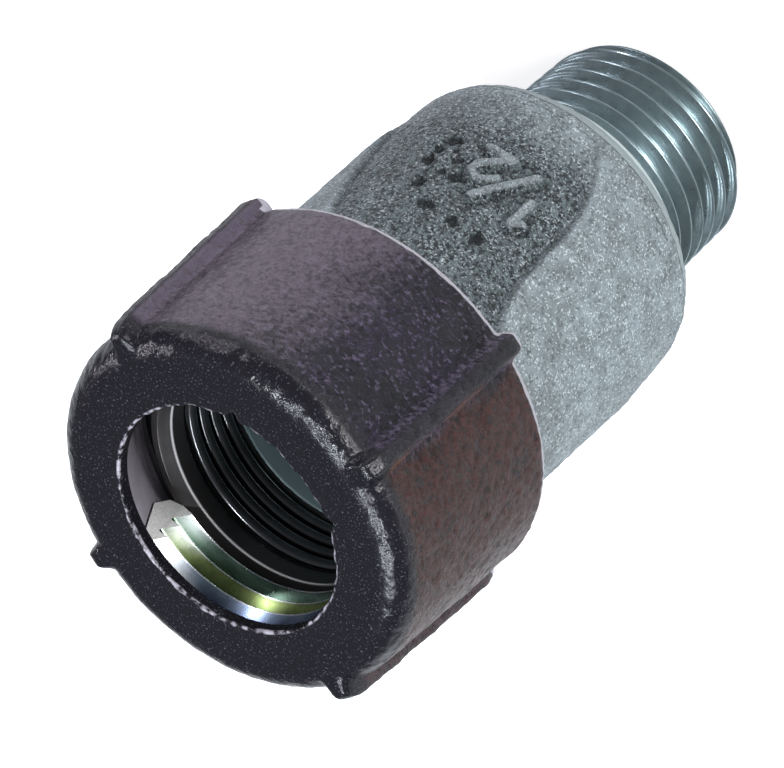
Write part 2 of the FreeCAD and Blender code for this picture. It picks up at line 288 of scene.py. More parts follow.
def thread_tree() -> GeometryTree:
    """A tube with a screw thread cut along its own helix.

    The rows of the grid follow the helix, so every crest is one clean row. Rows that run past
    an end are held there and merged, which leaves the real run-out of a cut thread. The first
    row and the last two make the back wall.

    Returns:
        The group, whose lengths are in metres.
    """
    titles = ("Rows", "Columns", "Crest radius", "Depth", "Pitch", "Start", "End", "Back radius")
    extras = ("Side", "Phase", "Taper", "Lead in", "Run out", "Flat")
    tree = GeometryTree("cut_thread", titles + extras, ("Finish",))
    given = tree.given
    columns = tree.math("ADD", given["Columns"], 1.0)
    grid = tree.add(
        "GeometryNodeMeshGrid",
        {"Vertices X": tree.math("ADD", given["Rows"], 4.0), "Vertices Y": columns},
    )
    index = tree.add("GeometryNodeInputIndex").outputs[0]
    row = tree.math("FLOOR", tree.math("DIVIDE", tree.math("ADD", index, 0.5), columns))
    column = tree.math("SUBTRACT", index, tree.math("MULTIPLY", row, columns))
    angle = tree.math("MULTIPLY", tree.math("DIVIDE", column, given["Columns"]), math.tau)
    rise = tree.math("MULTIPLY", tree.math("DIVIDE", column, given["Columns"]), given["Pitch"])
    length = tree.math("SUBTRACT", given["End"], given["Start"])
    reach = tree.math("ADD", length, given["Pitch"])
    along = tree.math("DIVIDE", tree.math("SUBTRACT", row, 1.0), given["Rows"])
    free = tree.math("MULTIPLY_ADD", along, reach, tree.math("SUBTRACT", rise, given["Pitch"]))
    held = tree.math("MAXIMUM", tree.math("MINIMUM", free, length), 0.0)
    last = tree.math("GREATER_THAN", row, tree.math("ADD", given["Rows"], 2.5))
    held = tree.math("MULTIPLY", held, tree.math("SUBTRACT", 1.0, last))
    height = tree.math("ADD", held, given["Start"])
    turns = tree.math("DIVIDE", tree.math("SUBTRACT", height, rise), given["Pitch"])
    phase = tree.math("FRACT", tree.math("ADD", turns, given["Phase"]))
    swing = tree.math("ABSOLUTE", tree.math("MULTIPLY_ADD", phase, 2.0, -1.0))
    steep_end = tree.math("SUBTRACT", 1.0, given["Flat"])
    ridge = tree.add(
        "ShaderNodeMapRange",
        {"Value": swing, "From Min": given["Flat"], "From Max": steep_end},
    ).outputs[0]
    valley = tree.math("MULTIPLY", tree.math("SUBTRACT", 1.0, ridge), given["Depth"])
    top_room = tree.math("SUBTRACT", length, held)
    fading = tree.ease(top_room, 0.0, given["Run out"])
    valley = tree.math("MULTIPLY", valley, fading)
    slope = tree.math("MULTIPLY", top_room, given["Taper"])
    lead = tree.math("MAXIMUM", tree.math("SUBTRACT", given["Lead in"], held), 0.0)
    drop = tree.math("MAXIMUM", tree.math("ADD", valley, slope), lead)
    inward = tree.math("MULTIPLY", drop, -1.0)
    cut = tree.math("MULTIPLY_ADD", inward, given["Side"], given["Crest radius"])
    front = tree.math("LESS_THAN", row, 0.5)
    back = tree.math("GREATER_THAN", row, tree.math("ADD", given["Rows"], 1.5))
    wall = tree.math("MAXIMUM", front, back)
    radii = {0: wall, 2: cut, 3: given["Back radius"]}
    radius = tree.add("ShaderNodeMix", radii, data_type="FLOAT").outputs[0]
    place = tree.add(
        "ShaderNodeCombineXYZ",
        {
            "X": tree.math("MULTIPLY", radius, tree.math("COSINE", angle)),
            "Y": tree.math("MULTIPLY", radius, tree.math("SINE", angle)),
            "Z": height,
        },
    )
    spots = {"Geometry": grid.outputs["Mesh"], "Position": place.outputs[0]}
    moved = tree.add("GeometryNodeSetPosition", spots).outputs[0]
    close = {"Geometry": moved, "Distance": MERGE_REACH}
    merged = tree.add("GeometryNodeMergeByDistance", close).outputs[0]
    smooth = tree.add("GeometryNodeSetShadeSmooth", {"Geometry": merged})
    tree.end(smooth.outputs[0], [("Finish", None)])
    return tree


def band_tree() -> GeometryTree:
    """Bands that repeat round a turned shell, raised like ribs or sunk like panels.

    Each band leans by an angle per length, spreads towards its lower end, curls on one side
    only, fades in above its foot, and follows the shell's own normals, so a rib wraps over a
    rounded edge. The flanks of a band can be sunk further, as a groove.

    Returns:
        The group, whose lengths are in metres and angles in radians.
    """
    titles = ("Count", "Turn", "Half width", "Edge", "Lean", "Spread", "Curl", "Lean height")
    ends = ("Rise", "Groove", "Bottom", "Bottom fade", "Top", "Top fade", "Nearest")
    tree = GeometryTree("bands", titles + ends, ("Cast", "Machined"))
    given = tree.given
    place = tree.add("GeometryNodeInputPosition").outputs[0]
    split = tree.split(place)
    radius = tree.radius(split)
    angle = tree.math("ARCTAN2", split[1], split[0])
    above = tree.math("SUBTRACT", split[2], given["Lean height"])
    cube = tree.math("MULTIPLY", tree.math("MULTIPLY", above, above), above)
    curl = tree.math("MULTIPLY", cube, given["Curl"])
    lean = tree.math("MULTIPLY_ADD", above, given["Lean"], curl)
    turned = tree.math("SUBTRACT", tree.math("SUBTRACT", angle, given["Turn"]), lean)
    share = tree.math("DIVIDE", tree.math("MULTIPLY", turned, given["Count"]), math.tau)
    near = tree.math("SUBTRACT", tree.math("FRACT", tree.math("ADD", share, 0.5)), 0.5)
    apart = tree.math("MULTIPLY", tree.math("ABSOLUTE", near), math.tau)
    across = tree.math("MULTIPLY", tree.math("DIVIDE", apart, given["Count"]), radius)
    widened = tree.math("MULTIPLY", curl, radius)
    narrow = tree.math("MULTIPLY_ADD", above, given["Spread"], widened)
    half = tree.math("SUBTRACT", given["Half width"], narrow)
    side = tree.math("SUBTRACT", half, across)
    body = tree.ease(side, 0.0, given["Edge"])
    foot = tree.add(
        "ShaderNodeMapRange",
        {"Value": split[2], "From Min": given["Bottom"], "From Max": given["Bottom fade"]},
    ).outputs[0]
    head = tree.ease(tree.math("SUBTRACT", given["Top"], split[2]), 0.0, given["Top fade"])
    outside = tree.math("GREATER_THAN", radius, given["Nearest"])
    length = tree.math("MULTIPLY", head, outside)
    weight = tree.math("MULTIPLY", tree.math("MULTIPLY", body, foot), length)
    outer = tree.math("SUBTRACT", 1.0, body)
    flank = tree.math("MULTIPLY", tree.math("MULTIPLY", body, outer), 4.0)
    flank = tree.math("MULTIPLY", tree.math("MULTIPLY", flank, foot), outside)
    rise = tree.math("MULTIPLY", weight, given["Rise"])
    rise = tree.math("SUBTRACT", rise, tree.math("MULTIPLY", flank, given["Groove"]))
    normal = tree.add("GeometryNodeInputNormal").outputs[0]
    shift = tree.vector("SCALE", normal, scale=rise)
    kept = given["Geometry"]
    for name, value in (("band", weight), ("flank", flank)):
        kept = tree.add(
            "GeometryNodeStoreNamedAttribute",
            {"Geometry": kept, "Name": name, "Value": value},
            data_type="FLOAT",
            domain="POINT",
        ).outputs[0]
    moved = tree.add("GeometryNodeSetPosition", {"Geometry": kept, "Offset": shift})
    cut = tree.math("GREATER_THAN", tree.stored("machined"), 0.5)
    tree.end(moved.outputs[0], [("Cast", None), ("Machined", cut)])
    return tree


def skin_tree() -> GeometryTree:
    """The skin of a casting: soft waves, grain and small pits, along the normals.

    Returns:
        The group, whose lengths are in metres.
    """
    titles = ("Wave size", "Wave height", "Grain size", "Grain height", "Pit size", "Pit depth")
    tree = GeometryTree("cast_skin", titles + ("Pit share", "Seed"), ("Cast", "Machined"))
    given = tree.given
    place = tree.add("GeometryNodeInputPosition").outputs[0]

    def swing(size: str, detail: float, step: float) -> Socket:
        """Reads noise of a named size.

        Args:
            size: Name of the input that holds the size of its waves.
            detail: How many finer layers it has.
            step: What is added to the skin's seed.

        Returns:
            The noise, from 0 to 1.
        """
        scale = tree.math("DIVIDE", 1.0, given[size])
        seed = tree.math("ADD", given["Seed"], step)
        return tree.noise(place, scale, detail, seed)

    wave = tree.math("SUBTRACT", swing("Wave size", 1.0, 0.0), 0.5)
    grain = tree.math("SUBTRACT", swing("Grain size", 2.0, 3.0), 0.5)
    hollow = swing("Pit size", 1.0, 7.0)
    deepest = 0.9
    pit = tree.ease(hollow, tree.math("SUBTRACT", 1.0, given["Pit share"]), deepest)
    offset = tree.math("MULTIPLY", wave, given["Wave height"])
    offset = tree.math("MULTIPLY_ADD", grain, given["Grain height"], offset)
    sunk = tree.math("MULTIPLY", given["Pit depth"], -1.0)
    offset = tree.math("MULTIPLY_ADD", pit, sunk, offset)
    offset = tree.math("MULTIPLY_ADD", offset, tree.stored("cast"), tree.stored("relief"))
    normal = tree.add("GeometryNodeInputNormal").outputs[0]
    moved = tree.add(
        "GeometryNodeSetPosition",
        {"Geometry": given["Geometry"], "Offset": tree.vector("SCALE", normal, scale=offset)},
    )
    smooth = tree.add("GeometryNodeSetShadeSmooth", {"Geometry": moved.outputs[0]})
    cut = tree.math("GREATER_THAN", tree.stored("machined"), 0.5)
    tree.end(smooth.outputs[0], [("Cast", None), ("Machined", cut)])
    return tree


@dataclass(frozen=True)
class Corner:
    """A corner of a section, in millimetres, and the stretch that leaves it."""

    radius: float
    height: float
    edge: float = 0.0
    skin: Skin = Skin.TURNED
    step: float = 1.0


@dataclass(frozen=True)
class Section:
    """A closed section beside the bore, listed so that the wall lies on its right.

    The points of an arc stand no further apart than arc_step times its radius.
    """

    corners: tuple[Corner, ...]
    arc_step: float = 0.35

    def sample(self) -> tuple[np.ndarray, np.ndarray, np.ndarray]:
        """Turns the corners into points, with the rounded edges as arcs.

        Returns:
            The points as rows of radius and height, their cast share and their machined share.
        """
        points: list[tuple[float, float]] = []
        cast: list[float] = []
        cut: list[float] = []
        count = len(self.corners)
        arcs = [self._arc(number) for number in range(count)]
        for number, corner in enumerate(self.corners):
            before = self.corners[number - 1].skin
            both_cast = before is Skin.CAST and corner.skin is Skin.CAST
            for point in arcs[number]:
                points.append(point)
                cast.append(1.0 if both_cast else 0.0)
                cut.append(0.0 if corner.skin is Skin.CAST else 1.0)
            start = np.array(arcs[number][-1])
            end = np.array(arcs[(number + 1) % count][0])
            steps = max(1, round(float(np.linalg.norm(end - start)) / corner.step))
            for step in range(1, steps):
                points.append(tuple(start + (end - start) * step / steps))
                cast.append(1.0 if corner.skin is Skin.CAST else 0.0)
                cut.append(0.0 if corner.skin is Skin.CAST else 1.0)
        return np.array(points), np.array(cast), np.array(cut)

    def _arc(self, number: int) -> list[tuple[float, float]]:
        """Makes the points of one corner: itself, or the arc that rounds it.

        Args:
            number: The corner's place in the list.

        Returns:
            Pairs of radius and height, in the section's order.
        """
        corner = self.corners[number]
        here = np.array((corner.radius, corner.height))
        if corner.edge <= 0.0:
            return [tuple(here)]
        before = self.corners[number - 1]
        after = self.corners[(number + 1) % len(self.corners)]
        way_in = here - np.array((before.radius, before.height))
        way_out = np.array((after.radius, after.height)) - here
        way_in /= np.linalg.norm(way_in)
        way_out /= np.linalg.norm(way_out)
        turn = math.acos(float(np.clip(np.dot(way_in, way_out), -1.0, 1.0)))
        reach = corner.edge * math.tan(turn / 2)
        start, end = here - way_in * reach, here + way_out * reach
        inward = way_out - way_in
        centre = here + inward / np.linalg.norm(inward) * corner.edge / math.cos(turn / 2)
        fine = min(corner.step, corner.edge * self.arc_step)
        steps = max(2, math.ceil(corner.edge * turn / fine))
        arm_in, arm_out = start - centre, end - centre
        found = []
        for step in range(steps + 1):
            share = step / steps
            blend = math.sin((1 - share) * turn) * arm_in + math.sin(share * turn) * arm_out
            found.append(tuple(centre + blend / math.sin(turn)))
        return found


def even_angles(count: int) -> np.ndarray:
    """Angles evenly round a full turn, in radians."""
    return np.arange(count) * math.tau / count


def crowded_angles(count: int, places: int, crowding: float) -> np.ndarray:
    """Angles round a full turn that crowd at evenly spaced places, from +X on.

    Args:
        count: How many angles there are.
        places: How many places they crowd at.
        crowding: 0 for even angles, towards 1 for the closest crowd.

    Returns:
        The angles in radians.
    """
    even = even_angles(count)
    return even - crowding / places * np.sin(places * even)


def mesh_object(name: str, verts: np.ndarray, quads: np.ndarray) -> bpy.types.Object:
    """Makes a mesh object at the origin from metres and quads.

    Args:
        name: Name of the object.
        verts: Rows of x, y, z in metres.
        quads: Rows of four vertex numbers.

    Returns:
        The object, linked to the scene.
    """
    mesh = bpy.data.meshes.new(name)
    mesh.vertices.add(len(verts))
    mesh.vertices.foreach_set("co", verts.astype(np.float32).ravel())
    mesh.loops.add(quads.size)
    mesh.loops.foreach_set("vertex_index", quads.astype(np.int32).ravel())
    mesh.polygons.add(len(quads))
    mesh.polygons.foreach_set("loop_start", np.arange(0, quads.size, 4, dtype=np.int32))
    mesh.update(calc_edges=True)
    mesh.validate()
    mesh.shade_smooth()
    piece = bpy.data.objects.new(name, mesh)
    bpy.context.scene.collection.objects.link(piece)
    return piece


def set_number(piece: bpy.types.Object, name: str, values: np.ndarray) -> None:
    """Stores one number for each vertex of a piece under a name."""
    layer = piece.data.attributes.new(name, "FLOAT", "POINT")
    layer.data.foreach_set("value", values.astype(np.float32))


def ring_quads(rows: int, columns: int, closed: bool) -> np.ndarray:
    """Numbers the quads of a closed section that follows a ring.

    Args:
        rows: How many points the section has.
        columns: How many places along the ring it stands at.
        closed: Whether the last place meets the first.

    Returns:
        Rows of four vertex numbers.
    """
    spans = columns if closed else columns - 1
    row = np.arange(rows)[:, None]
    column = np.arange(spans)[None, :]
    row_on, column_on = (row + 1) % rows, (column + 1) % columns
    corners = [row * columns + column, row * columns + column_on]
    corners += [row_on * columns + column_on, row_on * columns + column]
    return np.stack([np.broadcast_to(c, (rows, spans)) for c in corners], axis=-1).reshape(-1, 4)


def turn_section(name: str, section: Section, angles: np.ndarray) -> bpy.types.Object:
    """Turns a closed section round the bore into a ring without caps.

    Args:
        name: Name of the piece.
        section: The section, in millimetres.
        angles: Angles of the columns, in radians, rising through one full turn.

    Returns:
        The ring, with its cast and machined shares stored on its vertices.
    """
    points, cast, cut = section.sample()
    rows, columns = len(points), len(angles)
    radius = points[:, 0][:, None] * MM
    verts = np.stack(
        (
            radius * np.cos(angles)[None, :],
            radius * np.sin(angles)[None, :],
            np.repeat(points[:, 1][:, None] * MM, columns, axis=1),
        ),
        axis=-1,
    ).reshape(-1, 3)
    quads = ring_quads(rows, columns, closed=True)
    if not section_turns_left(points):
        quads = quads[:, ::-1]
    piece = mesh_object(name, verts, quads)
    set_number(piece, "cast", np.repeat(cast, columns))
    set_number(piece, "machined", np.repeat(cut, columns))
    set_number(piece, "relief", np.zeros(rows * columns))
    return piece


def section_turns_left(points: np.ndarray) -> bool:
    """Whether a closed section runs anticlockwise in radius and height."""
    ahead = np.roll(points, -1, axis=0)
    return float(np.sum(points[:, 0] * ahead[:, 1] - ahead[:, 0] * points[:, 1])) > 0


def vertex_places(piece: bpy.types.Object) -> np.ndarray:
    """Reads where a piece's vertices are.

    Args:
        piece: The piece.

    Returns:
        Rows of x, y, z in millimetres.
    """
    places = np.zeros(len(piece.data.vertices) * 3, np.float32)
    piece.data.vertices.foreach_get("co", places)
    return places.reshape(-1, 3) / MM


def new_material(name: str) -> tuple[bpy.types.Material, Graph, bpy.types.Node, Socket]:
    """Starts a material on a principled shader.

    Args:
        name: Name of the material.

    Returns:
        The material, its graph, its shader and the object coordinates.
    """
    material = bpy.data.materials.new(name)
    material.use_nodes = True
    graph = Graph(material.node_tree)
    shader = material.node_tree.nodes["Principled BSDF"]
    place = graph.add("ShaderNodeTexCoord").outputs["Object"]
    return material, graph, shader, place


def colour_ramp(graph: Graph, value: Socket, stops: Sequence[tuple[float, Colour]]) -> Socket:
    """Maps a number to a colour.

    Args:
        graph: The material's graph.
        value: The number.
        stops: Places from 0 to 1, each with its colour.

    Returns:
        The colour.
    """
    node = graph.add("ShaderNodeValToRGB", {0: value})
    elements = node.color_ramp.elements
    while len(elements) < len(stops):
        elements.new(0.5)
    for element, (position, colour) in zip(elements, stops):
        element.position = position
        element.color = (*colour, 1.0)
    return node.outputs[0]


def number_ramp(graph: Graph, value: Socket, low: float, high: float) -> Socket:
    """Maps 0 to 1 onto low to high."""
    return graph.math("MULTIPLY_ADD", value, high - low, low)


def mix_colours(graph: Graph, share: Any, first: Any, second: Any, blend: str = "MIX") -> Socket:
    """Mixes two colours.

    Args:
        graph: The material's graph.
        share: How much of the second one shows, as a number or a socket.
        first: A colour, or a socket of one.
        second: A colour, or a socket of one.
        blend: Blender's name for the way that they mix.

    Returns:
        The mixed colour.
    """
    node = graph.add("ShaderNodeMix", data_type="RGBA", blend_type=blend)
    graph.feed(node.inputs[0], share)
    for socket, colour in ((node.inputs[6], first), (node.inputs[7], second)):
        graph.feed(socket, colour if isinstance(colour, bpy.types.NodeSocket) else (*colour, 1.0))
    return node.outputs[2]


def toned(colour: Colour, share: float) -> Colour:
    """A colour made darker or brighter by a share."""
    return tuple(part * share for part in colour)


def stored_number(graph: Graph, name: str) -> Socket:
    """A number that is stored on the piece's vertices, by its name."""
    return graph.add("ShaderNodeAttribute", attribute_name=name).outputs["Fac"]


def roughen(
    graph: Graph, shader: bpy.types.Node, height: Socket, strength: Any, depth: Any
) -> None:
    """Gives a shader a bump.

    Args:
        graph: The material's graph.
        shader: Its principled shader.
        height: The bump's height.
        strength: How much of it shows, from 0 to 1.
        depth: How far a height of 1 rises, in metres.
    """
    bump = graph.add("ShaderNodeBump", {"Height": height, "Strength": strength, "Distance": depth})
    graph.feed(shader.inputs["Normal"], bump.outputs[0])


@dataclass(frozen=True)
class GalvanisedCasting:
    """Zinc over a sand casting: a cool grey, with painted shade in its pits, grooves and sunk panels,
    painted highlights on what stands up, and bright specks that are partly grain and partly painted
    glints.

    The spans from pit_rim to bump_depth hold the value on the barrel and the one in a panel.
    """

    name: str = "galvanised_casting"
    dark: Colour = (0.022, 0.026, 0.027)
    middle: Colour = (0.240, 0.283, 0.300)
    shade: Colour = (0.158, 0.187, 0.197)
    bright: Colour = (0.68, 0.76, 0.79)
    # Painted shade: the tone that darkens the sunk panels.
    panel_shade: Colour = (0.60, 0.64, 0.63)
    # Painted shade: laid into grooves and hollows, and along the top edge of the turned band.
    painted_shade: Colour = (0.016, 0.019, 0.020)
    turned: Colour = (0.235, 0.275, 0.28)
    cloud_size: float = 2.2 * MM
    grain_size: float = 0.36 * MM
    speck_size: float = 0.19 * MM
    cloud_span: Span = (0.35, 0.65)
    speck_span: Span = (0.56, 0.68)
    # Painted shade in the grain's hollows: where it starts and where it is full, on the barrel and in
    # a panel.
    pit_rim: Span = (0.47, 0.53)
    pit_heart: Span = (0.38, 0.44)
    pit_share: Span = (0.46, 0.96)
    speck_share: Span = (0.60, 0.56)
    bump_depth: Span = (0.42 * MM, 0.82 * MM)
    speck_height: float = 0.5
    flank_share: float = 0.55
    hollow_span: Span = (0.06 * MM, 0.34 * MM)
    hollow_share: float = 0.85
    # Painted highlight on what rises: the tops of the numerals.
    top_highlight_span: Span = (0.20 * MM, 0.50 * MM)
    top_highlight_share: float = 0.28
    turned_top: float = 16.3 * MM
    turned_edge: float = 0.05 * MM
    turned_share: float = 0.85
    seam: float = 0.14 * MM
    seam_share: float = 0.75
    metal: float = 0.15
    specular: float = 0.40
    roughness: Span = (0.75, 0.25)

    def make(self) -> bpy.types.Material:
        """Makes the material.

        Returns:
            The finished material.
        """
        material, graph, shader, place = new_material(self.name)
        panel = stored_number(graph, "band")
        grain = graph.noise(place, 1 / self.grain_size, detail=3.0, seed=1.0, rough=0.60)
        speck = graph.noise(place, 1 / self.speck_size, detail=1.0, seed=4.0)
        colour = self._zinc(graph, place, panel, grain, speck)
        colour = self._relief(graph, colour)
        above = graph.split(place)[2]
        low, high = self.turned_top - self.turned_edge, self.turned_top + self.turned_edge
        turned = graph.ease(above, high, low)
        bare = graph.math("MULTIPLY", turned, self.turned_share)
        colour = mix_colours(graph, bare, colour, self.turned)
        # A thin line of painted shade along the top edge of the turned band.
        off_seam = graph.math("ABSOLUTE", graph.math("SUBTRACT", above, self.turned_top))
        seam = graph.math("MULTIPLY", graph.ease(off_seam, self.seam, 0.0), self.seam_share)
        graph.feed(shader.inputs["Base Color"], mix_colours(graph, seam, colour, self.painted_shade))
        shader.inputs["Metallic"].default_value = self.metal
        shader.inputs["Specular IOR Level"].default_value = self.specular
        graph.feed(shader.inputs["Roughness"], number_ramp(graph, speck, *self.roughness))
        height = graph.math("MULTIPLY_ADD", speck, self.speck_height, grain)
        strength = graph.math("MULTIPLY_ADD", turned, -self.turned_share, 1.0)
        roughen(graph, shader, height, strength, number_ramp(graph, panel, *self.bump_depth))
        return material

    def _zinc(
        self, graph: Graph, place: Socket, panel: Socket, grain: Socket, speck: Socket
    ) -> Socket:
        """Colours the zinc: cloudy, with painted shade across the panels and in its pits, and bright
        specks that are partly grain and partly painted glints.

        Args:
            graph: The material's graph.
            place: The object coordinates.
            panel: 1 in a panel and 0 on the barrel.
            grain: The noise of the grain.
            speck: The noise of the specks.

        Returns:
            The colour.
        """
        cloud = graph.noise(place, 1 / self.cloud_size, detail=3.0, seed=2.0, rough=0.6)
        colour = mix_colours(graph, graph.ease(cloud, *self.cloud_span), self.shade, self.middle)
        # Painted shade: the panels are darkened all over.
        tone = mix_colours(graph, 1.0, colour, self.panel_shade, "MULTIPLY")
        colour = mix_colours(graph, panel, colour, tone)
        # Painted shade: the low spots of the grain, which is also the bump's height, are darkened,
        # more so in the panels.
        rim = number_ramp(graph, panel, *self.pit_rim)
        pit = graph.ease(grain, rim, number_ramp(graph, panel, *self.pit_heart))
        pit = graph.math("MULTIPLY", pit, number_ramp(graph, panel, *self.pit_share))
        colour = mix_colours(graph, pit, colour, self.dark)
        # Bright specks where the grain rises and turns glossy: partly the zinc's grain, partly painted
        # glints.
        specks = graph.ease(speck, *self.speck_span)
        specks = graph.math("MULTIPLY", specks, number_ramp(graph, panel, *self.speck_share))
        return mix_colours(graph, specks, colour, self.bright)

    def _relief(self, graph: Graph, colour: Socket) -> Socket:
        """Paints shade into the grooves, blow holes and the moat round the numerals, and a highlight
        on what stands up.

        Args:
            graph: The material's graph.
            colour: The colour of the zinc.

        Returns:
            The colour with its painted shade and its painted highlights.
        """
        # Painted shade in the blow holes, in the moat round the numerals and on the flanks of the
        # panel grooves.
        relief = stored_number(graph, "relief")
        hollow = graph.ease(graph.math("MULTIPLY", relief, -1.0), *self.hollow_span)
        hollow = graph.math("MULTIPLY", hollow, self.hollow_share)
        flank = stored_number(graph, "flank")
        painted_shade = graph.math("MULTIPLY_ADD", flank, self.flank_share, hollow, clamp=True)
        colour = mix_colours(graph, painted_shade, colour, self.painted_shade)
        # Painted highlight on what stands up.
        raised = graph.math("MULTIPLY", graph.ease(relief, *self.top_highlight_span), self.top_highlight_share)
        return mix_colours(graph, raised, colour, self.bright)


@dataclass(frozen=True)
class CutZinc:
    """Zinc over a machined surface, with the tool's fine rings."""

    name: str = "galvanised_cut"
    colour: Colour = (0.30, 0.35, 0.37)
    shade: Colour = (0.12, 0.15, 0.165)
    roughness: float = 0.30
    roughness_swing: Span = (-0.08, 0.12)
    ring_pitch: float = 0.16 * MM
    ring_depth: float = 0.02 * MM
    ring_strength: float = 0.25
    cloud_size: float = 2.5 * MM
    fleck_size: float = 0.5 * MM
    metal: float = 0.9
    bore: Colour = (0.24, 0.31, 0.32)
    bore_metal: float = 0.3
    bore_radius: float = 11.1 * MM
    bore_foot: float = 29.0 * MM

    def make(self) -> bpy.types.Material:
        """Makes the material.

        Returns:
            The finished material.
        """
        material, graph, shader, place = new_material(self.name)
        cloud = graph.noise(place, 1 / self.cloud_size, detail=3.0, seed=1.0, rough=0.6)
        colour = mix_colours(graph, cloud, self.shade, self.colour)
        split = graph.split(place)
        inside = graph.math("LESS_THAN", graph.radius(split), self.bore_radius)
        above = graph.math("GREATER_THAN", split[2], self.bore_foot)
        inside = graph.math("MULTIPLY", inside, above)
        graph.feed(shader.inputs["Base Color"], mix_colours(graph, inside, colour, self.bore))
        metal = number_ramp(graph, inside, self.metal, self.bore_metal)
        graph.feed(shader.inputs["Metallic"], metal)
        fleck = graph.noise(place, 1 / self.fleck_size, detail=2.0, seed=2.0)
        low, high = (self.roughness + part for part in self.roughness_swing)
        graph.feed(shader.inputs["Roughness"], number_ramp(graph, fleck, low, high))
        turns = graph.math("MULTIPLY", split[2], math.tau / self.ring_pitch)
        worn = graph.math("MULTIPLY", graph.math("SINE", turns), fleck)
        roughen(graph, shader, worn, self.ring_strength, self.ring_depth)
        return material


@dataclass(frozen=True)
class Tint:
    """A tint of the nut that grows along a level line from its axis, with a cloudy edge: used for its
    painted sheen and its painted reflection.
    """

    side: float
    span: Span
    share: float
    colour: Colour
    wander: float = 3.0 * MM

    def reach(self, graph: Graph, split: Sequence[Socket], cloud: Socket) -> Socket:
        """Measures along the tint's line.

        Args:
            graph: The material's graph.
            split: X, Y and Z of the place.
            cloud: The noise that moves the tint's edge.

        Returns:
            The distance from the axis, in metres.
        """
        shift = graph.math("SUBTRACT", cloud, 0.5)
        return graph.math("MULTIPLY_ADD", shift, self.wander, graph.across(split, self.side))

    def amount(self, graph: Graph, reach: Socket) -> Socket:
        """How much of the tint shows at a reach."""
        return graph.math("MULTIPLY", graph.ease(reach, *self.span), self.share)


